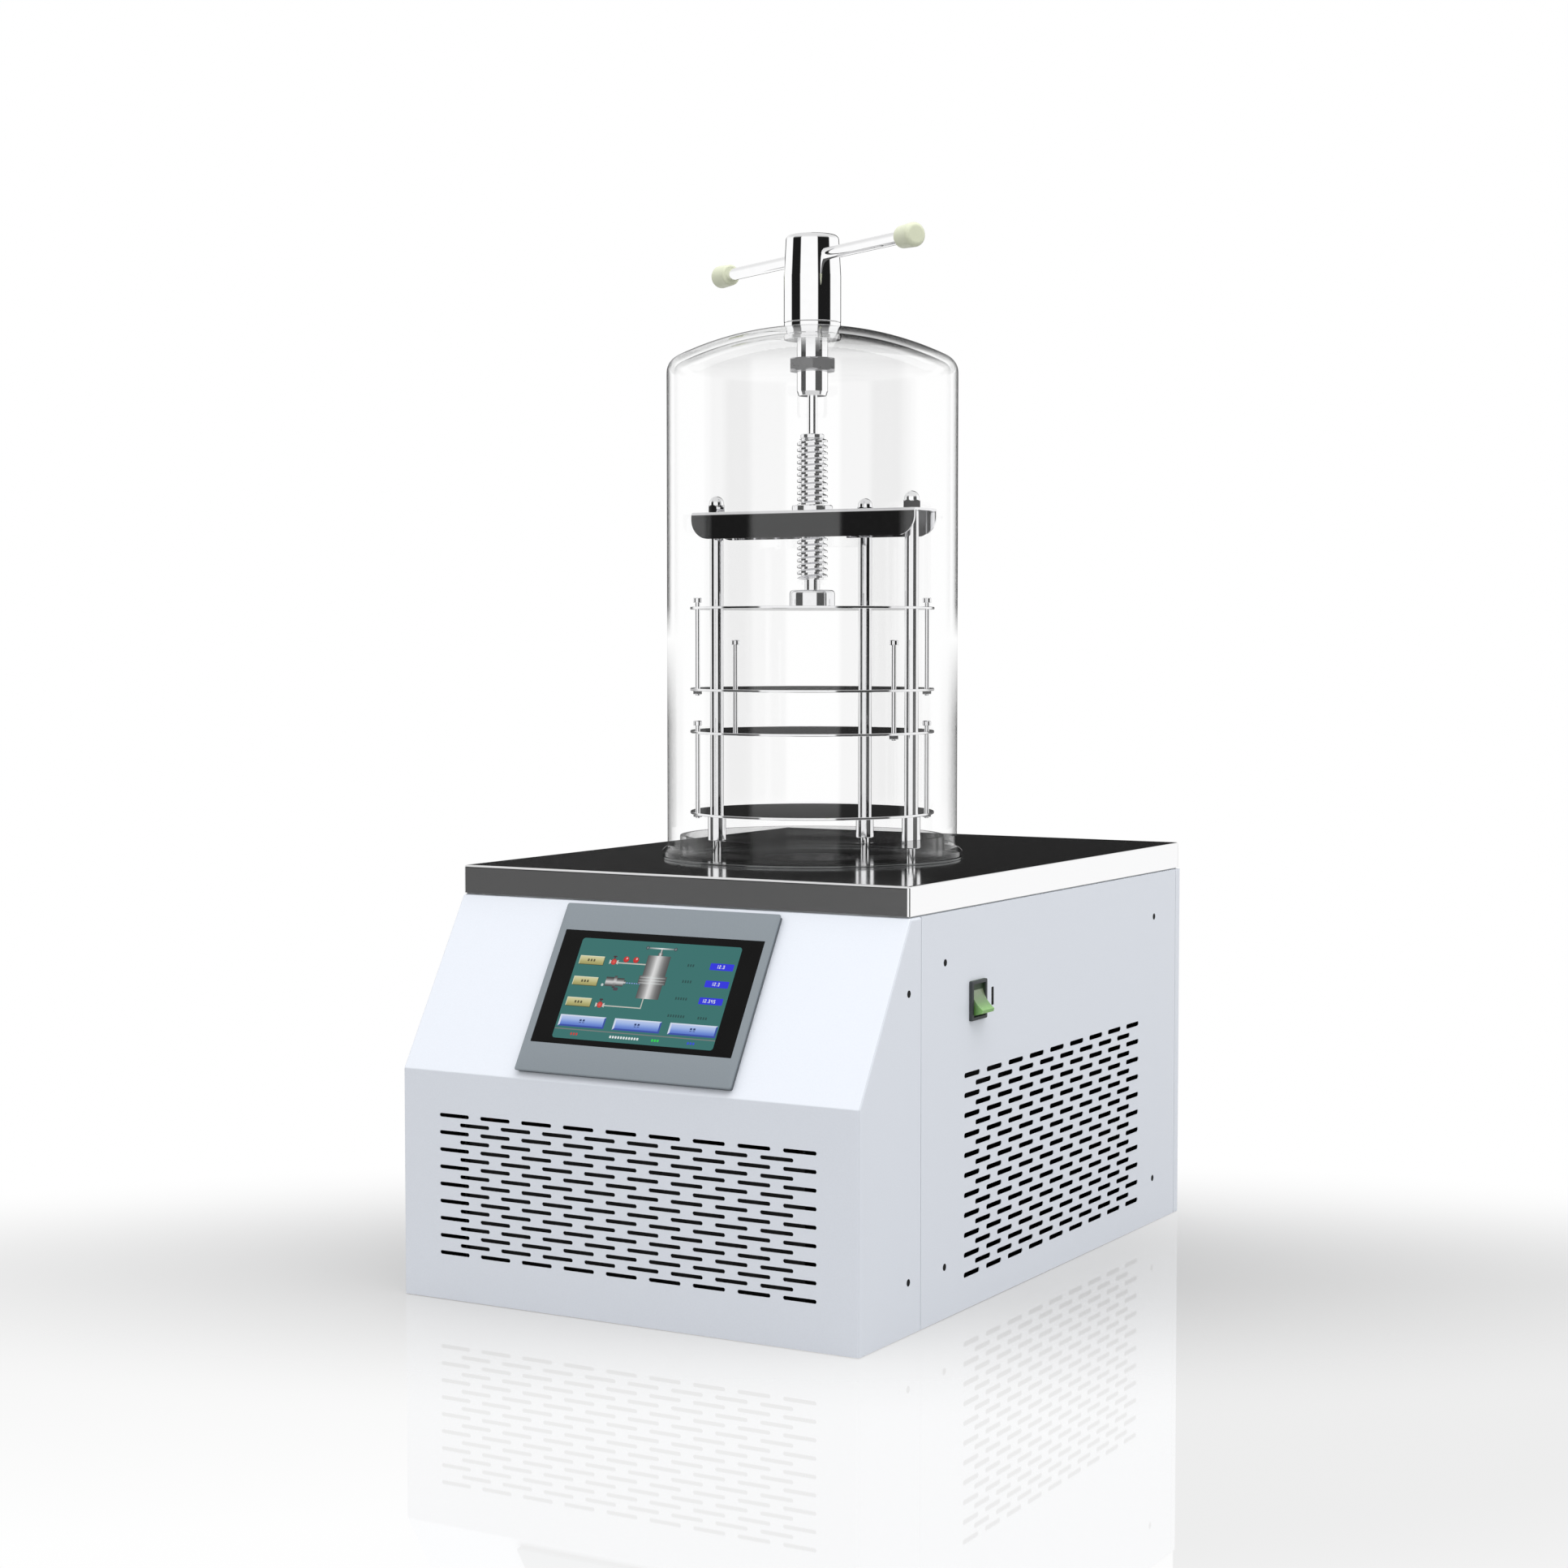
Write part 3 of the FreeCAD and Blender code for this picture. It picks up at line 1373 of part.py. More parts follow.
# ---- rear connections
def rear_body(z):
    """A flanged moulding pressed into the rear panel."""
    face_y = rear_y + inlet_face
    face = box(span(inlet_x, inlet_width), (rear_y, face_y), span(z, inlet_height))
    face = rounded(face, inlet_face_round, lambda e: e.BoundBox.YMin > face_y - 0.1)
    wide, tall = inlet_width - 2 * inlet_flange, inlet_height - 2 * inlet_flange
    body = box(span(inlet_x, wide), (rear_y - inlet_depth, rear_y), span(z, tall))
    return face.fuse(body).removeSplitter()


def contact_places(z):
    """Centres of the two side contacts and of the raised earth contact between them."""
    return [
        (inlet_x - inlet_pin_spacing, z),
        (inlet_x, z + inlet_earth_lift),
        (inlet_x + inlet_pin_spacing, z),
    ]


def power_inlet():
    """The mains inlet: a recess with three flat pins."""
    body = rear_body(inlet_z)
    floor = rear_y + inlet_face - inlet_mouth_depth
    open_y = rear_y + inlet_face + 1
    body = body.cut(box(span(inlet_x, inlet_mouth_width), (floor, open_y), span(inlet_z, inlet_mouth_height)))
    for x, z in contact_places(inlet_z):
        reach = (floor - 1, floor + inlet_pin_length)
        body = body.fuse(box(span(x, inlet_pin_thickness), reach, span(z, inlet_pin_width)))
    return body.removeSplitter()


def pump_outlet():
    """The socket that feeds the vacuum pump: three slots in a raised face."""
    body = rear_body(outlet_z)
    reach = (rear_y + inlet_face - outlet_slot_depth, rear_y + inlet_face + 1)
    for x, z in contact_places(outlet_z):
        wide = span(x, inlet_pin_thickness + 2 * fit_gap)
        tall = span(z, inlet_pin_width + 2 * fit_gap)
        body = body.cut(box(wide, reach, tall))
    return body


pieces = {
    "base_pan": base_pan(),
    "front_cover": front_cover(),
    "side_panel_left": side_panel(-1),
    "side_panel_right": side_panel(1),
    "rear_panel": rear_panel(),
    "corner_posts": corner_posts(),
    "panel_screws": panel_screws(),
    "top_plate": top_plate(),
    "top_frame": top_frame(),
    "hmi_bezel": hmi_bezel(),
    "hmi_glass": hmi_glass(),
    "hmi_case": hmi_case(),
    "control_board": control_board(),
    "switch_frame": switch_frame(),
    "switch_rocker": switch_rocker(),
    "bell_jar": bell_jar(),
    "jar_gasket": jar_gasket(),
    "inner_collar": inner_collar(),
    "gland_bush": gland_bush(),
    "gland_seal": gland_seal(),
    "gland_washer": gland_washer(),
    "gland_nut": gland_nut(),
    "drive_rod": drive_rod(),
    "handle_knob": handle_knob(),
    "cross_bar": cross_bar(),
    "bar_caps": bar_caps(),
    "crosshead": crosshead(),
    "post_left": rack_post(post_angles[0]),
    "post_right": rack_post(post_angles[1]),
    "post_rear": rack_post(post_angles[2]),
    "acorn_nuts": acorn_nuts(),
    "screw_nut": screw_nut(),
    "press_screw": press_screw(),
    "press_foot": press_foot(),
    "trap_vessel": trap_vessel(),
    "evaporator_sleeve": evaporator_sleeve(),
    "trap_insulation": trap_insulation(),
    "vacuum_pipe": vacuum_pipe(),
    "drain_pipe": drain_pipe(),
    "drain_valve": drain_valve(),
    "drain_lever": drain_lever(),
    "compressor": compressor(),
    "compressor_grommets": compressor_grommets(),
    "condenser": condenser(),
    "fan_shroud": fan_shroud(),
    "fan_motor": fan_motor(),
    "fan_rotor": fan_rotor(),
    "discharge_line": discharge_line(),
    "suction_line": suction_line(),
    "liquid_line": liquid_line(),
    "power_inlet": power_inlet(),
    "pump_outlet": pump_outlet(),
}
for index in range(len(shelf_heights)):
    pieces[f"shelf_{index + 1}"] = shelf(index)
for pair, name in enumerate(("upper", "middle", "lower")):
    bolts = hanger_bolts(pair)
    pieces[f"{name}_hangers"] = Part.makeCompound(bolts.Solids + hanger_nuts(pair).Solids)

for name, shape in pieces.items():
    shape.exportStep(f"parts/{name}.step")
    print(name, len(shape.Solids), shape.isValid(), round(shape.Volume))
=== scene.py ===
# %% [markdown]
# # A bench freeze dryer, dressed for its picture
#
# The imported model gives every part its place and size. This lesson adds what a solid model lacks:
# smooth turned parts, a screw thread, a lit screen, and finishes that react to light as paint, steel
# and clear acrylic do. Everything is in metres, in the model's own frame: X to the right, Y to the
# back, Z up.

# %% Load the model
import math

import bmesh
import bpy
import numpy as np
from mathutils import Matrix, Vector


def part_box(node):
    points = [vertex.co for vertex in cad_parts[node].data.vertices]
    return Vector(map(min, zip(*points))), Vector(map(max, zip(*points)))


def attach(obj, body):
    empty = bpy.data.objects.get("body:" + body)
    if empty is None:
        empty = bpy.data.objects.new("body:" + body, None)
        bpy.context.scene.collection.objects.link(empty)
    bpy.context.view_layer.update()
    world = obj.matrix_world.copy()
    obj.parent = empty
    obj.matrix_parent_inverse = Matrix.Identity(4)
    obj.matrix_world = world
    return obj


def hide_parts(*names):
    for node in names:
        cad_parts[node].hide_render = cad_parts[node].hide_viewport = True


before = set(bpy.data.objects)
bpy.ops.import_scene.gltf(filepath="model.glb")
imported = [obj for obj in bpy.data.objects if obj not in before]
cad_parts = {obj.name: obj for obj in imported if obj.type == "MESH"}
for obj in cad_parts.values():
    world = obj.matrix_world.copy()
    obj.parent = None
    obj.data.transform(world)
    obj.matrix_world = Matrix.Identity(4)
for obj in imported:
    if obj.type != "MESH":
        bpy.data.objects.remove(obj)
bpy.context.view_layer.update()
MM = 0.001

# %% [markdown]
# ## Ways of making a surface
#
# Nearly every visible part is turned on a lathe, folded from sheet or moulded as a rounded slab. So
# three helpers are enough: an outline with rounded corners, a grid of points carried round an axis,
# and a stack of rounded rectangles. Each works on whole arrays at once, which is quick and keeps the
# formula in plain sight. The alternative, adding primitives and editing them by hand, hides the sizes.
# Shapes are drawn in millimetres, as a machine drawing is, and become metres in the mesh.

# %% Outlines and grids
def edges(node):
    """Lowest and highest corner of a model part, in millimetres."""
    return tuple(np.array(corner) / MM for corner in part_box(node))


def z_range(node):
    """Lowest and highest z of a model part, in millimetres."""
    return tuple(corner[2] for corner in edges(node))


def above(base, points):
    """Outline points (radius, height) whose heights are given from a base."""
    return [(radius, base + height) for radius, height in points]


def round_corners(corners, radii, steps=6):
    """Each corner of a closed outline becomes an arc.

    The arc's centre lies on the bisector at r / sin(half the corner's angle). Its points turn from one
    side's tangent point to the other's by spherical interpolation.
    """
    corner = np.asarray(corners, float)
    radius = np.broadcast_to(np.asarray(radii, float), len(corner))[:, None]
    back = np.roll(corner, 1, 0) - corner
    ahead = np.roll(corner, -1, 0) - corner
    back /= np.linalg.norm(back, axis=1, keepdims=True)
    ahead /= np.linalg.norm(ahead, axis=1, keepdims=True)
    half = np.arccos(np.clip((back * ahead).sum(1, keepdims=True), -1, 1)) / 2
    bisector = (back + ahead) / np.linalg.norm(back + ahead, axis=1, keepdims=True)
    centre = corner + bisector * radius / np.sin(half)
    first = (corner + back * radius / np.tan(half) - centre)[:, None]
    last = (corner + ahead * radius / np.tan(half) - centre)[:, None]
    sweep = (np.pi - 2 * half)[:, None]
    part = np.linspace(0, 1, steps + 1)[None, :, None]
    arc = (np.sin((1 - part) * sweep) * first + np.sin(part * sweep) * last) / np.sin(sweep)
    return (centre[:, None] + arc).reshape(-1, corner.shape[1])


def grid_faces(rows, columns, closed_rows=False, closed_columns=True):
    """Four-sided faces between neighbours of a grid whose points are numbered row by row."""
    row = np.arange(rows if closed_rows else rows - 1)[:, None]
    column = np.arange(columns if closed_columns else columns - 1)[None, :]
    next_row, next_column = (row + 1) % rows, (column + 1) % columns
    ring = [row * columns + column, row * columns + next_column]
    ring += [next_row * columns + next_column, next_row * columns + column]
    return np.stack(ring, -1).reshape(-1, 4)


def supported(outline, closed, near=0.35, longer_than=2.0):
    """Two more points on each long side, just inside its ends.

    Smooth shading blends a small rounded edge into its neighbours. These points keep the blend short, so
    that a flat stays flat and a cylinder straight, as on a real machined part.
    """
    start = np.asarray(outline, float)
    side = np.roll(start, -1, 0) - start
    length = np.linalg.norm(side, axis=1, keepdims=True)
    is_long = length[:, 0] > longer_than
    if not closed:
        is_long[-1] = False
    step = near * side / np.maximum(length, 1e-9)
    points = np.stack([start, start + step, start + side - step], 1)
    keep = np.stack([np.ones(len(start), bool), is_long, is_long], 1)
    return points[keep]


def turned(outline, axis=(0, 0), steps=96, flats=None):
    """A lathe's work: the point (r, z) runs round the axis as (x + r cos a, y + r sin a, z).

    With flats, r is cut to a hexagon: at most (flats / 2) / cos(angle from the middle of the nearest flat).
    """
    hollow = outline[0][0] > 1e-7
    outline = supported(outline, hollow)
    angle = np.linspace(0, 2 * np.pi, steps, endpoint=False)
    radius, height = outline[:, 0, None], outline[:, 1, None]
    if flats:
        from_middle = (angle % (np.pi / 3)) - np.pi / 6
        radius = np.minimum(radius, flats / 2 / np.cos(from_middle))
    points = np.stack(
        [axis[0] + radius * np.cos(angle), axis[1] + radius * np.sin(angle), height + 0 * angle], -1
    )
    return points.reshape(-1, 3), grid_faces(len(outline), steps, closed_rows=hollow).tolist()


def rounded_rectangle(width, length, corner, steps=6):
    """A closed outline: four quarter circles of the corner's radius, about the four corner centres."""
    angle = np.linspace(0, np.pi / 2, steps + 1) + np.pi / 2 * np.arange(4)[:, None]
    sign_x = np.array([1, -1, -1, 1])[:, None]
    sign_y = np.array([1, 1, -1, -1])[:, None]
    x = sign_x * (width / 2 - corner) + corner * np.cos(angle)
    y = sign_y * (length / 2 - corner) + corner * np.sin(angle)
    return np.stack([x, y], -1).reshape(-1, 2)


def stacked(outlines, heights):
    """A solid from outlines of equal count, one above the other, with flat ends."""
    count = len(outlines[0])
    points = np.concatenate([np.column_stack([o, np.full(count, h)]) for o, h in zip(outlines, heights)])
    faces = grid_faces(len(outlines), count).tolist()
    top = (len(outlines) - 1) * count
    faces += [list(range(count - 1, -1, -1)), list(range(top, top + count))]
    return points, faces


def slab(width, length, corner, low, high, edge):
    """A rounded rectangle between two heights, with its upper edge turned over by a small radius."""
    bend = np.linspace(0, np.pi / 2, 4)
    inset = np.concatenate([[0], edge * (1 - np.cos(bend))])
    height = np.concatenate([[low], high - edge + edge * np.sin(bend)])
    sizes = [(width - 2 * i, length - 2 * i, corner - min(i, corner * 0.9)) for i in inset]
    return stacked([rounded_rectangle(*size) for size in sizes], height)


def joined(*parts):
    """Several (points, faces) pairs as one."""
    starts = np.cumsum([0] + [len(points) for points, _ in parts])
    faces = []
    for start, (_, own) in zip(starts, parts):
        faces += [[start + number for number in face] for face in own]
    return np.concatenate([points for points, _ in parts]), faces

# %% [markdown]
# ## From points to a piece
#
# A mesh becomes a piece of the machine when it has a finish, moves with the right body and stands for
# the plain solid that it dresses. Doubled points are merged first, so that seams and poles are closed,
# and then the faces are turned outwards. Edges sharper than a chosen angle stay crisp.

# %% Pieces
def mesh_of(name, points, faces):
    """A mesh from points in millimetres."""
    mesh = bpy.data.meshes.new(name)
    mesh.from_pydata((np.asarray(points) * MM).tolist(), [], faces)
    return mesh


def put(name, data, location=(0, 0, 0), rotation=(0, 0, 0)):
    """An object in the scene: a mesh, a camera or a lamp in its place."""
    thing = bpy.data.objects.new(name, data)
    thing.location, thing.rotation_euler = location, rotation
    bpy.context.scene.collection.objects.link(thing)
    return thing


def piece(name, shape, finish, body, stands_for=(), crisp=32):
    """A mesh of (points, faces) with its finish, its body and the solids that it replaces.

    Edges sharper than crisp, in degrees, stay sharp.
    """
    mesh = mesh_of(name, *shape)
    work = bmesh.new()
    work.from_mesh(mesh)
    bmesh.ops.remove_doubles(work, verts=work.verts, dist=2e-6)
    bmesh.ops.recalc_face_normals(work, faces=work.faces)
    work.to_mesh(mesh)
    work.free()
    mesh.polygons.foreach_set("use_smooth", np.ones(len(mesh.polygons), bool))
    mesh.set_sharp_from_angle(angle=math.radians(crisp))
    thing = put(name, mesh)
    mesh.materials.append(look[finish])
    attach(thing, body)
    if stands_for:
        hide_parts(*stands_for)
    print(f"{name}: {len(mesh.polygons)} faces")
    return thing


def points_of(mesh):
    """A mesh's points, in millimetres."""
    flat = np.empty(3 * len(mesh.vertices))
    mesh.vertices.foreach_get("co", flat)
    return flat.reshape(-1, 3) / MM

# %% [markdown]
# ## Wiring a material
#
# A material is a small network: nodes, and links between their sockets. Written out in full, each node
# takes four or five lines. These helpers make one node from its settings and return what it gives, so a
# network reads like a formula. An input is either a value or another node's socket.

# %% Node helpers
def add(tree, kind, inputs=None, **settings):
    """A node of a kind, with its settings and its inputs: a socket is linked, a value is written."""
    node = tree.nodes.new("ShaderNode" + kind)
    for name, value in settings.items():
        setattr(node, name, value)
    for name, value in (inputs or {}).items():
        feed(tree, value, node.inputs[name])
    return node


def feed(tree, value, socket):
    """Links a socket, or writes a value."""
    if isinstance(value, bpy.types.NodeSocket):
        tree.links.new(value, socket)
    else:
        socket.default_value = value


def calc(tree, operation, *values):
    """One step of arithmetic."""
    return add(tree, "Math", dict(enumerate(values)), operation=operation).outputs[0]


def object_point(tree):
    """The shaded point in the object's own coordinates, in metres."""
    return add(tree, "TexCoord").outputs["Object"]


def graded(tree, value, stops):
    """Greys or colours at positions of a value, linear between them."""
    node = add(tree, "ValToRGB", {0: value})
    while len(node.color_ramp.elements) < len(stops):
        node.color_ramp.elements.new(1.0)
    for element, (position, level) in zip(node.color_ramp.elements, stops):
        element.position = position
        element.color = (*level, 1) if np.ndim(level) else (level, level, level, 1)
    return node.outputs[0]


def ranged(tree, value, start, end, low=0.0, high=1.0, curve="LINEAR"):
    """low at start and high at end, and no further."""
    limits = {"Value": value, "From Min": start, "From Max": end, "To Min": low, "To Max": high}
    return add(tree, "MapRange", limits, interpolation_type=curve).outputs["Result"]


def blended(tree, base, other, factor):
    """A colour that goes from base to other with the factor."""
    node = add(tree, "Mix", data_type="RGBA")
    sockets = {socket.identifier: socket for socket in node.inputs}
    for name, value in (("A_Color", base), ("B_Color", other), ("Factor_Float", factor)):
        feed(tree, (*value, 1) if isinstance(value, tuple) else value, sockets[name])
    return next(socket for socket in node.outputs if socket.identifier == "Result_Color")

# %% [markdown]
# ## Finishes
#
# A real finish is never one flat colour. Paint has a fine orange peel, polished steel has faint
# polishing marks, and moulded plastic has a soft grain. One helper builds them all on the Principled
# shader: a noise pattern in the object's own coordinates tints the colour by a few percent, varies the
# roughness, and drives a bump. Stretching the pattern along one axis turns grain into brushing. Every
# finish is kept under its name.

# %% Finish helper
look = {}


def shader_of(name):
    """A finish's node tree and its Principled shader."""
    tree = look[name].node_tree
    return tree, tree.nodes["Principled BSDF"]


def colour_of(shader):
    """What feeds a shader's base colour."""
    return shader.inputs["Base Color"].links[0].from_socket


def finish(name, colour, rough, metal, tint, grain, bump, spread=0.05, stretch=(1, 1, 1)):
    """A Principled finish: base colour +- tint, roughness +- spread and a bump, all from one noise."""
    look[name] = bpy.data.materials.new(name)
    look[name].use_nodes = True
    tree, shader = shader_of(name)
    shader.inputs["Metallic"].default_value = metal
    placed = add(tree, "Mapping", {"Vector": object_point(tree), "Scale": stretch}).outputs[0]
    noise = add(tree, "TexNoise", {"Vector": placed, "Scale": grain, "Detail": 3.0}).outputs["Fac"]
    darker, paler = ([min(1, max(0, c * (1 + side * tint))) for c in colour] for side in (-1, 1))
    feed(tree, graded(tree, noise, [(0.32, darker), (0.68, paler)]), shader.inputs["Base Color"])
    rougher = ranged(tree, noise, 0.3, 0.7, max(0.0, rough - spread), rough + spread)
    feed(tree, rougher, shader.inputs["Roughness"])
    relief = add(tree, "Bump", {"Strength": bump, "Distance": 0.0002, "Height": noise})
    feed(tree, relief.outputs[0], shader.inputs["Normal"])

# %% [markdown]
# ### The machine's finishes
#
# The cabinet is powder coated in a cool white. The top plate and everything in the rack are polished
# stainless steel, the handle is chrome, and its caps are cream plastic. The touch panel has a grey
# moulded bezel round black glass. Metals take their look from what they reflect, so they only need a
# bright base and a low roughness. One table holds them all, so that they are easy to compare.

# %% Finishes
looks = {
    # name: colour, roughness, metal, tint, grain, bump, spread, stretch
    "powder_coat": ((0.765, 0.80, 0.865), 0.42, 0, 0.012, 900, 0.12, 0.04),
    "plate_steel": ((0.95, 0.95, 0.955), 0.11, 1, 0.015, 160, 0.01, 0.02, (1, 12, 12)),
    "rack_steel": ((0.86, 0.86, 0.87), 0.05, 1, 0.02, 220, 0.01, 0.02),
    "chrome": ((0.98, 0.98, 0.985), 0.025, 1, 0.01, 150, 0.004, 0.01),
    "nut_steel": ((0.55, 0.55, 0.56), 0.30, 1, 0.015, 400, 0.01, 0.03),
    "zinc_sheet": ((0.42, 0.43, 0.44), 0.45, 1, 0.12, 60, 0.03, 0.1),
    "bezel_plastic": ((0.225, 0.258, 0.286), 0.45, 0, 0.03, 1500, 0.15),
    # painted shade: the bezel's body is painted darker than its frame, for the shade on its side walls
    "bezel_body_shade": ((0.11, 0.125, 0.138), 0.5, 0, 0.03, 1500, 0.15),
    "panel_glass": ((0.005, 0.005, 0.005), 0.2, 0, 0.1, 30, 0.0, 0.03),
    "case_plastic": ((0.03, 0.03, 0.03), 0.6, 0, 0.08, 800, 0.15),
    "board_green": ((0.02, 0.16, 0.07), 0.4, 0, 0.15, 250, 0.1),
    "switch_plastic": ((0.040, 0.046, 0.050), 0.55, 0, 0.06, 1200, 0.12),
    "rubber": ((0.02, 0.02, 0.021), 0.7, 0, 0.1, 600, 0.1),
    "cap_plastic": ((0.70, 0.73, 0.55), 0.33, 0, 0.015, 500, 0.04, 0.04),
    # painted shade: the trap's insulation is painted black for the shade seen through the vents
    "foam": ((0.012, 0.012, 0.013), 0.9, 0, 0.15, 350, 0.6),
    "copper": ((0.72, 0.33, 0.19), 0.28, 1, 0.12, 90, 0.03, 0.1),
    "brass": ((0.70, 0.52, 0.22), 0.25, 1, 0.06, 120, 0.03),
    "lever_paint": ((0.52, 0.03, 0.02), 0.38, 0, 0.06, 600, 0.1),
    "socket_plastic": ((0.018, 0.018, 0.019), 0.4, 0, 0.08, 900, 0.12),
    "compressor_paint": ((0.015, 0.015, 0.016), 0.35, 0, 0.1, 250, 0.08),
    "fin_aluminium": ((0.55, 0.56, 0.57), 0.35, 1, 0.3, 40, 0.8, 0.05, (12, 0.05, 0.05)),
    # painted shade: the condenser is painted black for the shade seen through the front vents
    "condenser_shade_black": ((0.008, 0.008, 0.009), 0.5, 0, 0.2, 60, 0.2, 0.05, (12, 1, 1)),
    "fan_plastic": ((0.03, 0.03, 0.032), 0.5, 0, 0.08, 500, 0.1),
    "trap_steel": ((0.68, 0.68, 0.69), 0.22, 1, 0.04, 120, 0.03),
    "screw_black": ((0.006, 0.006, 0.007), 0.45, 0, 0.15, 900, 0.1),
    "rocker_plastic": ((0.24, 0.47, 0.15), 0.3, 0, 0.006, 2500, 0.002),
    "display": ((0.008, 0.008, 0.008), 0.2, 0, 0.02, 40, 0.0, 0.03),
}
for name, values in looks.items():
    finish(name, *values)
for name, level in (("panel_glass", 0.08), ("display", 0.08), ("screw_black", 0.06)):
    shader_of(name)[1].inputs["Specular IOR Level"].default_value = level
print(len(look), "finishes")

# %% [markdown]
# ### Painted shade behind the sheets
#
# Through the vents the inside of the machine lies in shade, and it looks black. So the inner sides of the
# sheets are painted dark, as painted shade, and the condenser and the trap's insulation are painted black
# for the same shade. The painted shade follows the sheets everywhere, so it needs no mesh of its own. The
# paint turns dark wherever a point lies deeper than half the sheet under every outer face at once: the
# sides, the front, the slope, the top, the back and the bottom.

# %% Painted shade inside
cover_low, cover_high = edges("front_cover")
slope_rise, slope_setback = 128.3, 78.5
slope_angle = math.atan2(slope_rise, slope_setback)
slope_foot = np.array([0, cover_low[1], cover_high[2] - slope_rise])
slope_out = (0, -math.sin(slope_angle), math.cos(slope_angle))
outer_faces = [
    ((1, 0, 0), cover_high), ((-1, 0, 0), cover_low), ((0, -1, 0), cover_low), (slope_out, slope_foot),
    ((0, 0, 1), cover_high), ((0, 1, 0), edges("rear_panel")[1]), ((0, 0, -1), edges("base_pan")[0]),
]
shade_depth, shade_fade, shade_grey = 0.6, 0.1, 0.004


def shaded_inside(name):
    """Painted shade: dark where the least of (place - point) . normal over the outer faces passes the
    shade's depth.
    """
    tree, shader = shader_of(name)
    point = object_point(tree)
    least = None
    for normal, place in outer_faces:
        inwards = [-n / MM for n in normal]
        height = add(tree, "VectorMath", {0: point, 1: inwards}, operation="DOT_PRODUCT").outputs["Value"]
        under = calc(tree, "ADD", height, float(np.dot(place, normal)))
        least = under if least is None else calc(tree, "MINIMUM", least, under)
    deep = ranged(tree, least, shade_depth - shade_fade, shade_depth + shade_fade)
    feed(tree, blended(tree, colour_of(shader), (shade_grey,) * 3, deep), shader.inputs["Base Color"])


# painted shade: the inner faces of the powder coat and the zinc sheet are painted dark, and the depth
# printed below is where this painted shade starts
shaded_inside("powder_coat")
shaded_inside("zinc_sheet")
print("lining starts", shade_depth, "mm under the paint")

# %% [markdown]
# ### Clear acrylic
#
# A clear wall does two things: it lets sight through almost straight, and it mirrors the room, a
# twenty-fifth of the light face on and nearly all of it at a grazing angle. Schlick's formula gives the
# mirrored share: f + (1 - f) (1 - cos)^5. So the wall is a mirror whose opacity is that share. This
# keeps what stands inside crisp and costs far less than tracing bent light through four surfaces. Right
# at the outline, where the wall is seen edge on, the mirror's colour is darkened as painted shade, in
# place of the light that real plastic bends away there. Near the jar's foot the mirror is weakened as
# painted shade too.

# %% Acrylic
def clear_finish(name, colour, face_on, edge_painted_shade):
    """A mirror with opacity face_on + (1 - face_on) facing^n, painted darker than colour where seen edge on,
    as painted shade.

    Points whose attribute "bore" is 1 keep only face_on: light that has crossed the outer face of a round
    wall is bent, and meets the bore less steeply than the straight line of sight does. n is 5, and falls
    to 2.2 where the attribute "dome" is 1: there the sight passes two nearly parallel faces at a low angle.
    Where "foot" is 1, face_on falls to 30 % near the dark plate, as painted shade on the mirror.
    """
    finish(name, colour, 0.01, 1, tint=0.004, grain=18, bump=0.002, spread=0.006)
    tree, shader = shader_of(name)
    facing = add(tree, "LayerWeight", {"Blend": 0.5}).outputs["Facing"]
    marks = [add(tree, "Attribute", attribute_name=mark) for mark in ("bore", "dome", "foot")]
    bore, dome, foot = (node.outputs["Fac"] for node in marks)
    steep = calc(tree, "POWER", facing, calc(tree, "MULTIPLY_ADD", dome, -2.8, 5.0))
    outer = calc(tree, "MULTIPLY", steep, calc(tree, "SUBTRACT", 1.0, bore))
    # painted shade: where "foot" is 1 the mirror's face-on share is cut to 30 %
    foot_shaded_share = calc(tree, "MULTIPLY_ADD", foot, -0.7 * face_on, face_on)
    feed(tree, calc(tree, "MULTIPLY_ADD", outer, 1 - face_on, foot_shaded_share), shader.inputs["Alpha"])
    # painted shade: the mirror's colour darkens towards the outline, where the wall is seen edge on
    feed(tree, graded(tree, facing, [(0.90, colour), (0.985, edge_painted_shade)]), shader.inputs["Base Color"])


clear_finish("clear_acrylic", (0.985, 0.99, 0.99), 0.04, 0.25)
# painted shade: the collar mirrors near black at a share of 0.18, a dark band inside the jar
clear_finish("collar_acrylic_shade", (0.04, 0.04, 0.04), 0.18, 0.03)
clear_finish("clear_silicone", (0.30, 0.31, 0.31), 0.35, 0.12)
print("acrylic has", len(look["clear_acrylic"].node_tree.nodes), "nodes")

# %% [markdown]
# ### Green rocker
#
# The rocker is a translucent green moulding. A little light enters and scatters, so its thin lip glows
# paler than its body. Subsurface scattering does that, and costs less than real transmission. Its body is
# painted deeper green near the panel, as painted shade, and its face greyer towards the fold, as a painted
# sheen. The walls of the dark frame are painted dark green, as painted shade of the rocker's upper half.
# Each is a ramp along one axis of the part.

# %% Rocker plastic
rocker_tree, rocker_shader = shader_of("rocker_plastic")
frame_tree, frame_shader = shader_of("switch_plastic")
side_x, fold_z = edges("side_panel_right")[1][0], edges("switch_rocker")[1][2]
frame_left = edges("switch_frame")[0][1]


def ramp_along(tree, axis, start, end):
    """0 at start and 1 at end, millimetres along an axis of the part."""
    place = add(tree, "SeparateXYZ", {0: object_point(tree)}).outputs[axis]
    return ranged(tree, place, start * MM, end * MM)


outwards = ramp_along(rocker_tree, "X", side_x + 1.0, side_x + 8.5)
upwards = ramp_along(rocker_tree, "Z", fold_z - 17.0, fold_z - 4.0)
# painted shade: the body darkens to deep green near the panel
lit = blended(rocker_tree, (0.025, 0.12, 0.006), colour_of(rocker_shader), outwards)
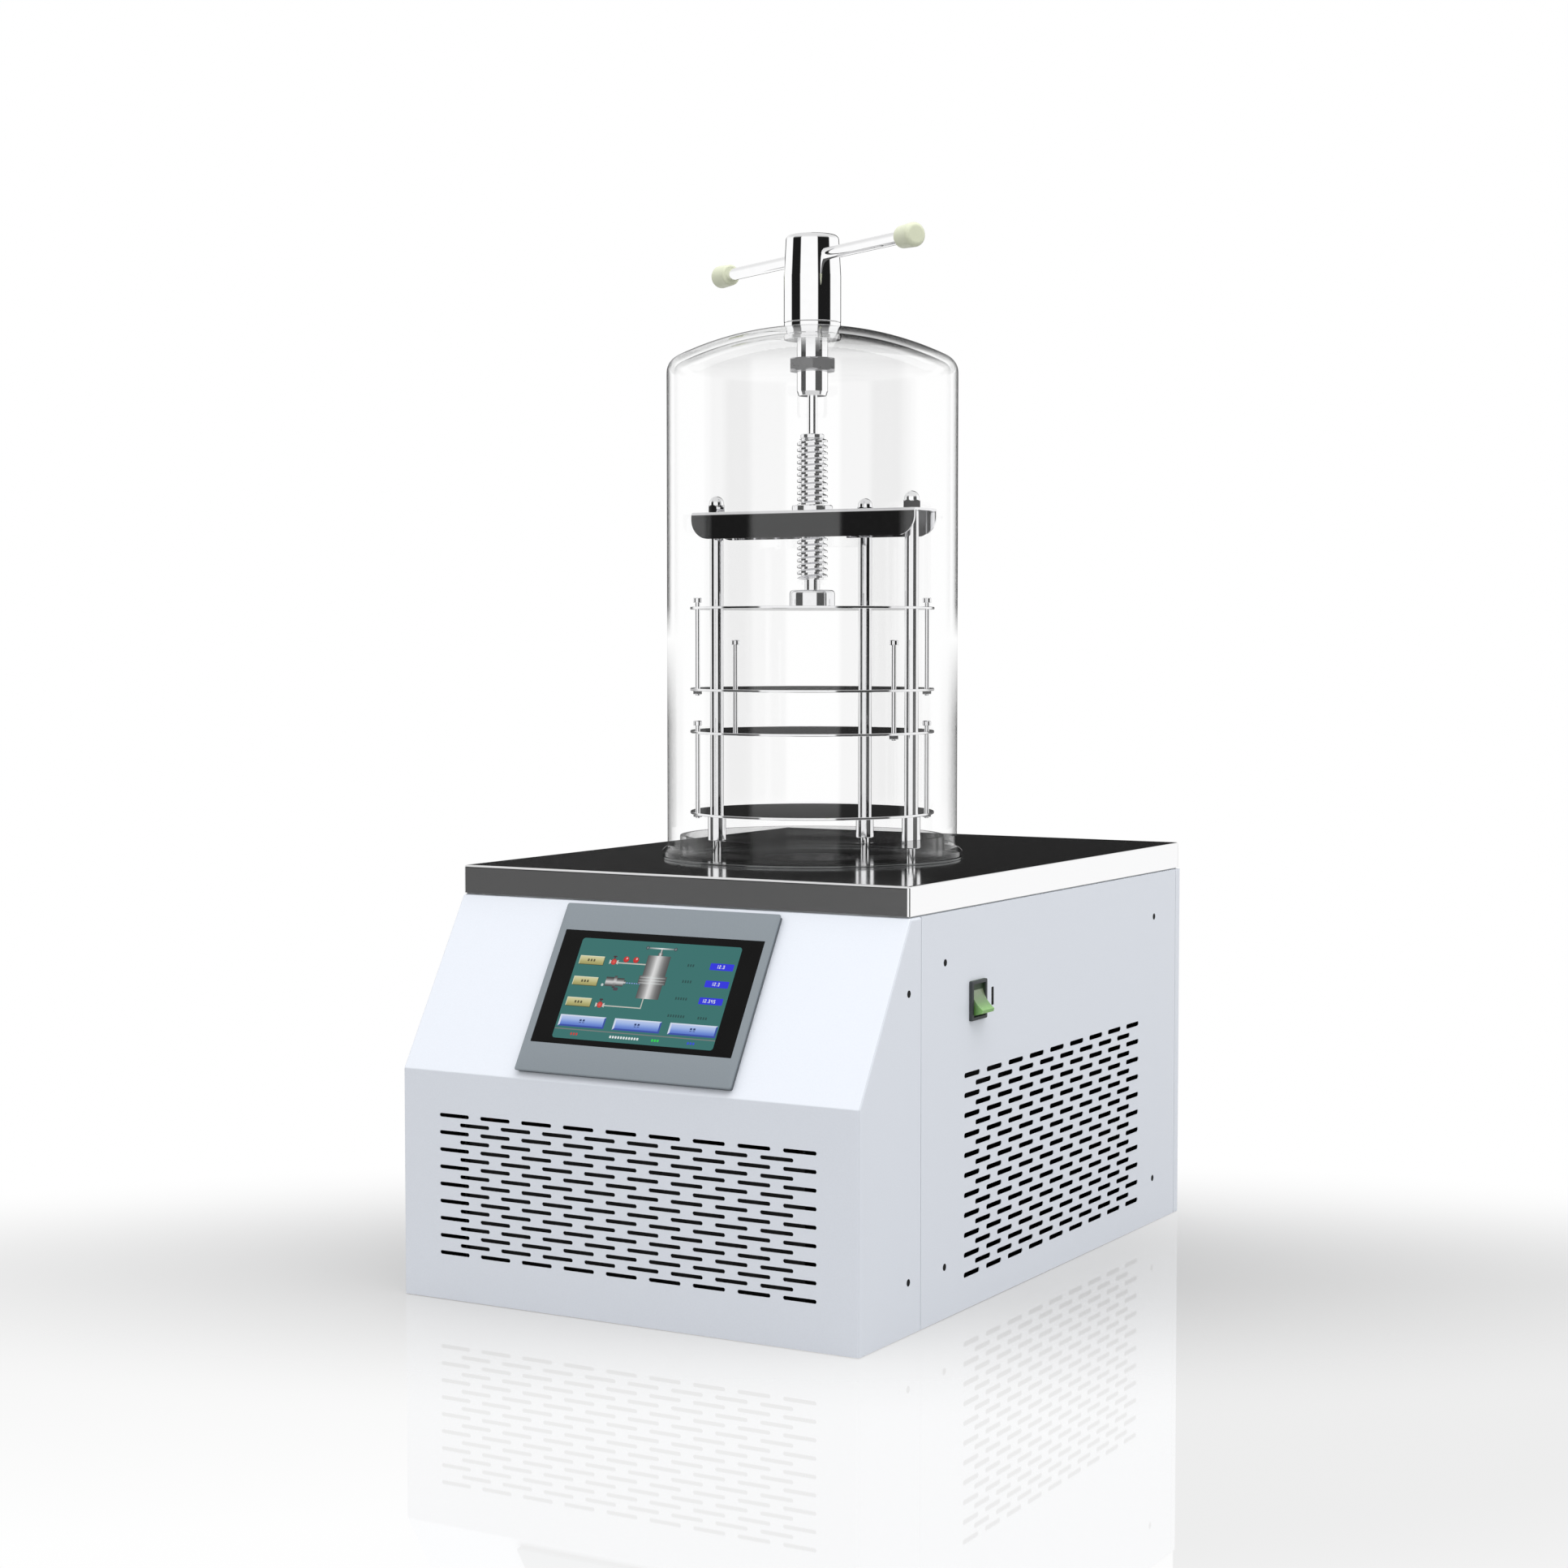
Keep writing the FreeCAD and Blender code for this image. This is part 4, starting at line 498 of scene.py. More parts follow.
# painted sheen: the face turns greyer towards the fold
painted_sheen = blended(rocker_tree, lit, (0.26, 0.32, 0.21), upwards)
feed(rocker_tree, painted_sheen, rocker_shader.inputs["Base Color"])
rim_colour = colour_of(frame_shader)
outwards = ramp_along(frame_tree, "X", side_x + 1.0, side_x + 2.2)
# painted shade: the frame's inner walls turn dark green
painted_green_shade = blended(frame_tree, (0.030, 0.062, 0.026), rim_colour, outwards)
inside = ramp_along(frame_tree, "Y", frame_left + 0.3, frame_left + 1.5)
feed(frame_tree, blended(frame_tree, rim_colour, painted_green_shade, inside), frame_shader.inputs["Base Color"])
scatter = {"Subsurface Weight": 0.25, "Subsurface Radius": (0.3, 1.0, 0.2), "Subsurface Scale": 0.003}
for name, value in scatter.items():
    rocker_shader.inputs[name].default_value = value
print("rocker scatters", scatter["Subsurface Weight"])

# %% [markdown]
# ## Finishes on the model's own parts
#
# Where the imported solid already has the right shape, it stays and only takes its finish.

# %% Dress the solids
dress = {
    "powder_coat": "front_cover side_panel_left side_panel_right rear_panel",
    "zinc_sheet": "base_pan corner_posts top_frame fan_shroud",
    "plate_steel": "top_plate",
    "rack_steel": "crosshead post_left post_right post_rear shelf_1 shelf_2 shelf_3 shelf_4 "
    "upper_hangers middle_hangers lower_hangers screw_nut press_screw press_foot acorn_nuts",
    "chrome": "gland_bush gland_washer drive_rod handle_knob cross_bar",
    "nut_steel": "gland_nut",
    "bezel_plastic": "hmi_bezel",
    "panel_glass": "hmi_glass",
    "case_plastic": "hmi_case",
    "board_green": "control_board",
    "switch_plastic": "switch_frame",
    "rocker_plastic": "switch_rocker",
    "clear_acrylic": "bell_jar inner_collar",
    "clear_silicone": "jar_gasket",
    "rubber": "gland_seal compressor_grommets",
    "cap_plastic": "bar_caps",
    "foam": "trap_insulation",
    "copper": "discharge_line suction_line liquid_line",
    "brass": "drain_valve",
    "lever_paint": "drain_lever",
    "socket_plastic": "power_inlet pump_outlet",
    "compressor_paint": "compressor fan_motor",
    "fin_aluminium": "evaporator_sleeve",
    "condenser_shade_black": "condenser",
    "fan_plastic": "fan_rotor",
    "trap_steel": "trap_vessel vacuum_pipe drain_pipe",
    "screw_black": "panel_screws",
}
for finish_name, names in dress.items():
    for name in names.split():
        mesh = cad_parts[name].data
        mesh.materials.clear()
        mesh.materials.append(look[finish_name])
print(sum(len(names.split()) for names in dress.values()), "of", len(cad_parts), "solids dressed")

# %% [markdown]
# ## The jar
#
# The bell jar is a clear tube closed by a shallow dome. The dome is part of a large sphere, and a small
# knuckle arc joins it to the wall without a crease. Both arcs share a tangent where they meet, which a
# few lines of trigonometry give exactly. A turned outline is the natural way to make it. Its wall keeps
# its real thickness, so the rim shows as thick clear plastic.

# %% Bell jar
jar_low, jar_high = edges("bell_jar")
axis = (jar_low + jar_high)[:2] / 2
jar_base, jar_top = jar_low[2], jar_high[2]
jar_radius, jar_wall, jar_hole = 118.8, 6.0, 21.3
jar_bore = jar_radius - jar_wall


def lathe(name, outline, finish, node, body="cabinet", steps=96, crisp=32):
    """A piece that is turned about the jar's axis and stands for one solid."""
    return piece(name, turned(outline, axis, steps), finish, body, [node], crisp)


def dome(top, sphere, wall_radius, knuckle, hole, steps=24):
    """Outline from the hole to the wall: a sphere's arc, then a knuckle tangent to sphere and wall.

    The knuckle's centre is knuckle inside the wall and (sphere - knuckle) from the sphere's centre.
    A point of either arc is its centre + radius (sin a, cos a), with a measured from straight up.
    """
    across, apart = wall_radius - knuckle, sphere - knuckle
    meeting = math.asin(across / apart)
    a = np.linspace(math.asin(hole / sphere), meeting, steps)[:, None]
    big = [0, top - sphere] + sphere * np.hstack([np.sin(a), np.cos(a)])
    a = np.linspace(meeting, np.pi / 2, steps // 2)[1:, None]
    centre = [across, top - sphere + math.sqrt(apart**2 - across**2)]
    return np.concatenate([big, centre + knuckle * np.hstack([np.sin(a), np.cos(a)])])


def near(distance, full, none):
    """1 up to the full distance, falling to 0 where there is none left."""
    return 1 - np.clip((distance - full) / (none - full), 0, 1)


foot = above(jar_base, [
    (jar_radius, 48), (jar_radius, 22), (jar_radius, 9), (jar_radius + 0.4, 7.6), (jar_radius + 1.2, 6.9),
    (122.6, 4.6), (123.0, 4.0), (123.0, 0.4), (122.6, 0), (jar_bore + 0.4, 0), (jar_bore, 0.4),
    (jar_bore, 22), (jar_bore, 48),
])
outside = dome(jar_top, 254.0, jar_radius, 14.0, jar_hole)
inside = dome(jar_top - jar_wall, 248.0, jar_bore, 8.0, jar_hole)[::-1]
jar_outline = np.concatenate([outside, foot, inside])
jar = lathe("clear_jar", jar_outline, "clear_acrylic", "bell_jar", steps=192)
points = points_of(jar.data)
from_axis = np.hypot(*(points[:, :2] - axis).T)
under_top, over_base = jar_top - points[:, 2], points[:, 2] - jar_base
in_bore = (from_axis < jar_radius - jar_wall / 2) * (1 - near(under_top, 25, 38))
# the "foot" mark carries painted shade: it weakens the jar's mirror near the plate
marks = {"bore": in_bore, "dome": near(under_top, 8, 25), "foot": near(over_base, 22, 48)}
for name, values in marks.items():
    jar.data.attributes.new(name, "FLOAT", "POINT").data.foreach_set("value", values)
jar.visible_glossy = False
print("jar", round(jar_top - jar_base, 1), "mm high,", int((in_bore > 0.5).sum()), "points in its bore")

# %% [markdown]
# ### Collar and gasket
#
# Inside the jar, a low clear collar stands round the port and keeps water from the seal. Its mirror is
# painted near black, so it shows as a dark band: painted shade. The jar's rim rests on a flat ring. Both
# are plain rings, so each is a rounded rectangle carried round the axis.

# %% Rings at the jar's foot
plate_top = z_range("top_plate")[1]


def ring(inner, outer, low, high, corner):
    """A ring whose section is a rectangle with rounded corners."""
    return round_corners([(outer, low), (outer, high), (inner, high), (inner, low)], corner, 3)


collar_ring = ring(103.6, 108.6, plate_top, plate_top + 18.4, 0.8)
splash_collar = lathe(
    "splash_collar", collar_ring, "collar_acrylic_shade", "inner_collar", steps=160
)
splash_collar.visible_glossy = False
seal_ring = ring(111.0, 124.0, plate_top, plate_top + 2.0, 0.7)
lathe("jar_seal", seal_ring, "clear_silicone", "jar_gasket", steps=160)

# %% [markdown]
# ## The gland through the dome
#
# The drive rod passes the dome in a polished bush. A washer and a large hexagonal nut clamp it from
# inside. A hexagonal nut is a turned part with six flats cut on it, so the helper for turned parts takes
# a width across flats: wherever the radius stands out past a flat, it is cut back. That gives the curved
# chamfer lines of a real nut for nothing.

# %% Gland
bush_base, bush_top = z_range("gland_bush")
washer_base, washer_top = z_range("gland_washer")
bush_corners = [
    (4.3, bush_base), (11.4, bush_base), (12.6, bush_base + 3.6), (12.6, washer_top), (21.2, washer_top),
    (21.2, jar_top - 0.9), (23.2, jar_top - 0.9), (23.2, bush_top), (4.3, bush_top),
]
bush_outline = round_corners(bush_corners, [0.3, 0.4, 0.3, 0.1, 0.2, 0.05, 0.3, 0.3, 0.3], 3)
lathe("gland_bush_turned", bush_outline, "chrome", "gland_bush")
washer_ring = ring(12.7, 23.2, washer_base, washer_top - 1.0, 0.5)
lathe("gland_washer_turned", washer_ring, "chrome", "gland_washer")


def hexagonal_nut(centre, bore, flats, low, high, chamfer):
    """A ring with chamfered outer corners, cut to six flats."""
    reach = flats / math.sqrt(3) + 0.01
    inset, drop = reach - chamfer, chamfer * 0.55
    outline = [(bore, low), (inset, low), (reach, low + drop)]
    outline += [(reach, high - drop), (inset, high), (bore, high)]
    return turned(outline, centre, 72, flats)


gland_nut = hexagonal_nut(axis, 12.65, 36.0, *z_range("gland_nut"), 2.4)
piece("gland_nut_cut", gland_nut, "nut_steel", "cabinet", ["gland_nut"])

# %% [markdown]
# ## The handle
#
# The knob is a heavy chrome cylinder that narrows a little towards its rounded top. A bar runs through
# it, with a cream cap on each end. The bar is turned upright first and then laid along its own line,
# which keeps a single lathe helper for everything round.

# %% Knob, rod and bar
knob_base, knob_top = z_range("handle_knob")
knob_radius, crown_radius = 21.7, 4.2
crown_base = knob_top - crown_radius
quarter = np.linspace(0, np.pi / 2, 10)[1:, None]
crown_centre = [knob_radius - crown_radius, crown_base]
crown = crown_centre + crown_radius * np.hstack([np.cos(quarter), np.sin(quarter)])
knob_outline = np.concatenate([
    above(knob_base, [(0, 0), (22.9, 0), (23.3, 0.4), (23.3, 37.4)]),
    [(knob_radius, crown_base)], crown, [(0, knob_top)],
])
lathe("knob_turned", knob_outline, "chrome", "handle_knob", "handle", 128, 24)

bar_angle, bar_height, bar_half = math.radians(-29.1), knob_top - 17.4, 146


def along_bar(shape):
    """Lays an upright shape along the bar: height runs along the bar, the rest stays across it."""
    cos, sin = math.cos(bar_angle), math.sin(bar_angle)
    return shape[0] @ [[-sin, cos, 0], [0, 0, 1], [cos, sin, 0]] + [*axis, bar_height], shape[1]


bar_outline = above(-bar_half, [(0, 0), (4.4, 0), (5, 0.6)]) + above(bar_half, [(5, -0.6), (4.4, 0), (0, 0)])
handle_bar = along_bar(turned(bar_outline, steps=64))
piece("handle_bar", handle_bar, "chrome", "handle", ["cross_bar"])
cap_outline = round_corners([(0, 132), (8.7, 132), (9.7, 152.5), (0, 152.5)], [0, 2.0, 3.6, 0], 8)
caps = [along_bar(turned(cap_outline * [1, side], steps=64)) for side in (1, -1)]
piece("bar_cap_pair", joined(*caps), "cap_plastic", "handle", ["bar_caps"], crisp=40)

rod_base, rod_top = z_range("drive_rod")
rod_outline = [(0, rod_base), (3.6, rod_base), (4, rod_base + 0.4), (4, rod_top), (0, rod_top)]
lathe("rod_turned", rod_outline, "chrome", "drive_rod", "handle", 48)

# %% [markdown]
# ## The rack
#
# Three turned posts carry a folded crosshead. Domed nuts hold it down. Each post has a thicker shoulder
# for the lowest shelf and a thin pin below it, which stands in the plate. All are bright bar stock, so
# they are lathe work with small chamfers: a polished edge without a chamfer never catches the light.

# %% Posts and domed nuts
head_top = z_range("crosshead")[1]
lowest_shelf = z_range("shelf_4")[0]


def middle(node):
    """The middle of a model part, seen from above."""
    return sum(edges(node))[:2] / 2


post_outline = [
    (0, plate_top - 1), (3.25, plate_top - 1),
    *above(lowest_shelf, [(3.25, -25.7), (7.0, -25.7), (7.5, -25.2), (7.5, -0.5), (7.0, 0), (5.6, 0)]),
    *above(head_top, [(5.6, -2.4), (5.2, -2), (4, -2), (4, 9.4), (3.4, 10), (0, 10)]),
]
post_places = {name: middle(name) for name in ("post_left", "post_right", "post_rear")}
for name, place in post_places.items():
    piece(name + "_turned", turned(post_outline, place, 64), "rack_steel", "cabinet", [name])

quarter = np.linspace(0, np.pi / 2, 12)[:, None]
nut_dome = [0, head_top + 8.0] + 6.0 * np.hstack([np.cos(quarter), np.sin(quarter)])
nut_side = above(head_top, [(0, 0), (6.8, 0), (7.52, 0.6), (7.52, 5.8), (6.7, 6.5), (6.0, 6.5)])
acorn_outline = np.concatenate([nut_side, nut_dome])
domed_nuts = joined(*[turned(acorn_outline, place, 72, 13.0) for place in post_places.values()])
piece("domed_nuts", domed_nuts, "chrome", "cabinet", ["acorn_nuts"])

# %% [markdown]
# ### Shelves and their hangers
#
# The shelves are thin discs with softened edges. Two headed bolts, with nuts under the lower shelf, join
# each shelf to the one above it and slide as the shelves close. They stand opposite each other on one
# circle, so a single angle places a pair, and its heights come from the model's own boxes.

# %% Shelves and hangers
shelf_bodies = {
    "shelf_1": "press_plate", "shelf_2": "second_shelf", "shelf_3": "third_shelf", "shelf_4": "cabinet",
}
for name, body in shelf_bodies.items():
    (left, _, low), (right, _, high) = edges(name)
    radius, soft = (right - left) / 2, 0.35
    disc = [(0, low), (radius - soft, low), (radius, low + soft)]
    disc += [(radius, high - soft), (radius - soft, high), (0, high)]
    lathe(name + "_disc", disc, "rack_steel", name, body, 192)

hanger_circle = 94.0


def hanger_pair(angle, low, high, carried):
    """Two bolts across the axis, each with a headed top and a nut below the shelf that it carries."""
    bolt = [(0, low), (1.6, low), (2, low + 0.4)]
    bolt += above(high, [(2, -4), (3.3, -4), (3.5, -3.8), (3.5, -0.5), (3, 0), (1.6, 0)])
    bolt += above(high, [(1.4, -1.6), (0, -1.6)])
    shapes = []
    for a in np.radians([angle, angle + 180]):
        place = axis + hanger_circle * np.array([np.cos(a), np.sin(a)])
        shapes += [turned(bolt, place, 32), hexagonal_nut(place, 2.02, 7.0, carried - 3.2, carried, 0.7)]
    return joined(*shapes)


hangers = {
    "upper_hangers": (30.0, "second_shelf", "shelf_2"),
    "middle_hangers": (-17.0, "third_shelf", "shelf_3"),
    "lower_hangers": (30.0, "cabinet", "shelf_4"),
}
for name, (angle, body, carried) in hangers.items():
    pair = hanger_pair(angle, *z_range(name), z_range(carried)[0])
    piece(name + "_turned", pair, "rack_steel", body, [name])

# %% [markdown]
# ### Crosshead
#
# The crosshead is bent from one sheet: a channel across the jar with a flat tongue back to the rear
# post. The model already has its bends and rounded ends, so a copy of its mesh is enough. The copy's
# doubled points are merged, and the bends are shaded smooth, which gives the polished fold its long
# highlight.

# %% Crosshead
def smooth_copy(name, node, finish_of, body, crisp=32):
    """A model part's own surface as points and faces, merged and shaded smooth."""
    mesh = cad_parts[node].data
    corners = np.empty(3 * len(mesh.polygons), int)
    mesh.polygons.foreach_get("vertices", corners)
    shape = points_of(mesh), corners.reshape(-1, 3).tolist()
    return piece(name, shape, finish_of, body, [node], crisp)


smooth_copy("crosshead_folded", "crosshead", "rack_steel", "cabinet")

# %% [markdown]
# ## The press
#
# The press screw has a coarse square thread. A thread is a height that repeats along the axis and rises
# one pitch per turn, so it is a grid in angle and profile: point j of turn k stands at
# bottom + pitch (k + share_j + angle / 360) and keeps the radius of its place in the profile. Near both
# ends the radius falls to the root, so the thread runs out and the surface closes.

# %% Threaded screw
screw_base, screw_top = z_range("press_screw")
thread_bottom = z_range("shelf_1")[1] + 22.4
thread_top = thread_bottom + 115.0
pitch, crest, root = 5.0, 12.5, 9.0


def thread(bottom, top, run_out=1.2, columns=72):
    """Radius root + (profile) x (fade near both ends), at bottom + pitch (turn + share + angle / 360)."""
    share = np.array([0.0, 0.30, 0.335, 0.35, 0.65, 0.665])
    height = np.array([0.0, 0.0, 0.93, 1.0, 1.0, 0.93])
    turns = np.arange(-1, math.ceil((top - bottom) / pitch) + 1)
    along = (turns[:, None] + share).ravel()[:, None]
    profile = np.tile(height, len(turns))[:, None]
    angle = np.linspace(0, 2 * np.pi, columns + 1)[None, :]
    z = np.clip(bottom + pitch * (along + angle / (2 * np.pi)), bottom, top)
    fade = np.clip(np.minimum(z - bottom, top - z) / run_out, 0, 1)
    radius = root + (crest - root) * profile * fade
    x, y = axis[0] + radius * np.cos(angle), axis[1] + radius * np.sin(angle)
    points = np.stack([x, y, z], -1)
    return points.reshape(-1, 3), grid_faces(len(along), columns + 1, closed_columns=False).tolist()


neck = [(0, screw_base), (6.2, screw_base)]
neck += above(thread_bottom, [(6.2, 0), (root, 0.01), (root, 0.5), (0, 0.5)])
collar = above(thread_top, [(0, -0.5), (root, -0.5), (root, 0), (9.2, 0), (9.5, 0.3)])
collar += above(screw_top, [(9.5, -0.5), (9.0, 0), (4.1, 0), (4.1, -3), (0, -3)])
screw = joined(thread(thread_bottom, thread_top), turned(neck, axis, 48), turned(collar, axis, 72))
piece("threaded_screw", screw, "rack_steel", "screw", ["press_screw"], crisp=28)

# %% [markdown]
# ### Screw nut and press foot
#
# The screw works in a flanged nut on the crosshead and presses on the top shelf through a round foot
# with a softened top edge.

# %% Nut and foot
nut_base, nut_top = z_range("screw_nut")
nut_outline = [
    (12.6, nut_base), (14.4, nut_base), (15, nut_base + 0.6), (15, head_top), (16.6, head_top),
    (16.6, nut_top - 0.8), (15.8, nut_top), (13.2, nut_top), (12.6, nut_top - 0.6),
]
lathe("screw_nut_turned", nut_outline, "rack_steel", "screw_nut")
foot_base, foot_top = z_range("press_foot")
foot_corners = [(0, foot_base), (18.5, foot_base)]
foot_corners += above(foot_top, [(18.5, 0), (6.3, 0), (6.3, -9), (0, -9)])
foot_outline = round_corners(foot_corners, [0, 0.6, 3.0, 0.4, 0, 0], 8)
lathe("press_foot_turned", foot_outline, "rack_steel", "press_foot", "press_plate")

# %% [markdown]
# ## The touch panel
#
# The panel lies on the sloping front. It is easiest to draw it flat, with x across, s up the slope and
# h out of it, and then to turn the whole drawing onto the slope. The moulding has a lighter front frame
# with a softened edge over a body painted darker, as painted shade on its side walls, and the glass sits
# just under the frame's face.

# %% The slope
def on_slope(shape):
    """(x, s, h) goes to foot + s (0, cos A, sin A) + h (0, -sin A, cos A), with A the slope's angle."""
    cos, sin = math.cos(slope_angle), math.sin(slope_angle)
    return shape[0] @ [[1, 0, 0], [0, cos, sin], [0, -sin, cos]] + slope_foot, shape[1]


def moved(shape, x=0, y=0, z=0):
    """A shape in another place."""
    return shape[0] + [x, y, z], shape[1]


print("slope", round(math.degrees(slope_angle), 2), "degrees")

# %% Frame and glass
def soft_edge(width, length, corner, edge, top):
    """Outlines and heights of an outer wall whose top is turned over by a small radius."""
    bend = np.linspace(0, np.pi / 2, 5)
    sizes = [(width - 2 * i, length - 2 * i, corner - i / 2) for i in edge * (1 - np.cos(bend))]
    return [rounded_rectangle(*size) for size in sizes], list(top - edge + edge * np.sin(bend))


bezel_middle, glass_middle, bezel_face, bezel_back = 75.5, 76.0, 5.0, 3.4
rings, heights = soft_edge(190, 141, 1.8, 0.9, bezel_face)
opening = rounded_rectangle(176.9, 94.4, 0.6) + [0, glass_middle - bezel_middle]
rings = [rounded_rectangle(189.6, 140.6, 1.7), *rings, opening, opening]
front_frame = stacked(rings, [bezel_back, *heights, bezel_face, bezel_back])
body = slab(188.6, 139.6, 1.6, 0.0, bezel_back, 0.2)
glass = slab(176.5, 94.0, 0.5, 3.5, bezel_face - 0.15, 0.15)
for name, shape, height, coat, node, takes in (
    ("panel_frame", front_frame, bezel_middle, "bezel_plastic", "hmi_bezel", "bezel_grey"),
    ("panel_body", body, bezel_middle, "bezel_body_shade", "hmi_bezel", "bezel_grey"),
    ("panel_glass_sheet", glass, glass_middle, "panel_glass", "hmi_glass", "panel_glass"),
):
    piece(name, on_slope(moved(shape, y=height)), coat, "cabinet", [node])

# %% [markdown]
# ### What the screen shows
#
# The display is a simple diagram: a tank with its pipes, valves, a pump, three values and a row of
# buttons. It is drawn as flat patches of colour just above the glass, each a hair higher than the one
# below it, and every point carries its own colour. The display's finish reads that colour, so one mesh
# and one material hold the whole picture, and shaded metal is only a row of stripes.

# %% Patches of colour
picture = []


def ink(red, green, blue):
    """Screen colour 0 to 255 as linear light: ((c / 255 + 0.055) / 1.055)^2.4."""
    return ((np.array([red, green, blue]) / 255 + 0.055) / 1.055) ** 2.4


def greys(*levels):
    """Screen greys."""
    return [ink(level, level, level) for level in levels]


def stripes(x, s, wide, high, colours, lift, upwards=False):
    """A rectangle whose colour runs through the given ones, from left to right or upwards."""
    run, ends = np.repeat(np.linspace(0, 1, len(colours)), 2), np.tile([0, 1], len(colours))
    across, along = (ends, run) if upwards else (run, ends)
    flat = np.column_stack([x + wide * across, s + high * along])
    corner = 2 * np.arange(len(colours) - 1)[:, None]
    order = [0, 1, 3, 2] if upwards else [0, 2, 3, 1]
    picture.append((flat, (corner + order).tolist(), np.repeat(np.array(colours), 2, 0), lift))


def spot(x, s, radius, middle_ink, rim_ink, lift, steps=20):
    """A round spot, shaded from its middle to its rim."""
    angle = np.linspace(0, 2 * np.pi, steps, endpoint=False)
    rim = np.column_stack([x + radius * np.cos(angle), s + radius * np.sin(angle)])
    following = np.roll(np.arange(1, steps + 1), -1)
    faces = np.column_stack([np.zeros(steps, int), np.arange(1, steps + 1), following]).tolist()
    colours = np.vstack([middle_ink, np.tile(rim_ink, (steps, 1))])
    picture.append((np.vstack([[x, s], rim]), faces, colours, lift))


def plain(outline, colour, lift):
    """A flat patch of one colour inside an outline."""
    outline = np.asarray(outline, float)
    picture.append((outline, [list(range(len(outline)))], np.tile(colour, (len(outline), 1)), lift))


def box_patch(x, s, wide, high, colour, lift, corner=0.01):
    """A rectangle of one colour from its lower left corner, with its corners rounded."""
    outline = rounded_rectangle(wide, high, corner, 4)
    plain(outline + [x + wide / 2, s + high / 2], colour, lift)

# %% Numbers of seven bars
bars_lit = {"1": "bc", "2": "abged", "3": "abgcd", "4": "fgbc", "5": "afgcd"}


def number(text, x, s, height, colour, lift):
    """Digits of seven bars, half as wide as high, and a dot where the text has one."""
    width, half, thick = height * 0.5, height / 2, height * 0.16
    for mark in text:
        if mark == ".":
            box_patch(x, s, thick, thick, colour, lift)
            x += 2.2 * thick
            continue
        right = x + width - thick
        bars = {
            "a": (x, s + height - thick, width, thick), "g": (x, s + half - thick / 2, width, thick),
            "d": (x, s, width, thick), "b": (right, s + half, thick, half), "c": (right, s, thick, half),
            "f": (x, s + half, thick, half), "e": (x, s, thick, half),
        }
        for bar in bars_lit[mark]:
            box_patch(*bars[bar], colour, lift)
        x += width + 1.9 * thick

# %% The diagram
pipe_ink, white_ink, horn_ink = ink(205, 205, 196), ink(240, 245, 245), ink(210, 214, 206)
metal = greys(88, 120, 150, 190, 236, 214, 165, 128, 104, 84)
band = [ink(150, 150, 150), white_ink, ink(130, 130, 130)]
rim_band = [ink(120, 130, 130), white_ink, ink(120, 130, 130)]
box_patch(-70.6, 33.5, 141.7, 83.5, ink(60, 121, 117), 0, 2.4)
for tank_part in (
    (-7.9, 70.2, 20, 12, metal, 2), (-7.9, 88.8, 20, 17, metal, 2), (-10.1, 82, 24.1, 7, metal, 3),
    (-9.4, 82.6, 22.6, 0.7, band, 4), (-9.4, 84.9, 22.6, 0.7, band, 4), (-9.4, 87.2, 22.6, 0.7, band, 4),
    (0.4, 105.8, 4, 2.6, metal, 3), (1.6, 108, 1.8, 4.4, metal, 4), (-9.9, 111.3, 23.9, 1.1, rim_band, 5),
):
    stripes(*tank_part)
for x in (-10.4, 14.4):
    spot(x, 111.9, 1.5, ink(150, 165, 170), ink(30, 40, 45), 6)
for pipe in ((-32.6, 97.5, 24.7, 1), (-33.4, 61.9, 33, 0.9), (-1.3, 61.9, 0.9, 8.3)):
    box_patch(*pipe, pipe_ink, 1)
for x, s in ((-36.6, 98.4), (-37.2, 62.6)):
    for side in (-1, 1):
        plain([(x + 4 * side, s + 1.9 * side), (x, s), (x + 4 * side, s - 1.9 * side)], horn_ink, 2)
    spot(x, s + 0.2, 2.5, ink(240, 110, 100), ink(196, 44, 44), 3)
    box_patch(x - 0.5, s + 2.4, 1, 1.6, ink(70, 50, 55), 2)
    box_patch(x - 1.6, s + 4, 3.2, 1.2, ink(74, 52, 58), 3, 0.5)
for x in (-26.2, -17.5):
    spot(x, 101.2, 2.5, ink(236, 70, 64), ink(188, 40, 44), 3)
    spot(x + 0.5, 102.1, 0.9, ink(255, 225, 220), ink(240, 130, 120), 4)
shaft = greys(70, 110, 190, 225, 150, 90, 62)
for pump_part in (
    (-38.6, 78.4, 7, 7.6, shaft, 3), (-31.6, 77.2, 2.6, 10, shaft[::-1], 4),
    (-29, 78.8, 6.6, 6.8, shaft, 3), (-22.4, 80.6, 1.8, 3.2, shaft, 4),
):
    stripes(*pump_part, upwards=True)
box_patch(-29.8, 75.2, 4, 2.6, ink(86, 74, 84), 2, 0.6)
spot(-40.6, 79.2, 1.2, white_ink, ink(170, 190, 186), 3)
for x in np.arange(-19.8, -8.6, 2.2):
    box_patch(x, 81.6, 1.2, 0.8, ink(150, 170, 235), 2)

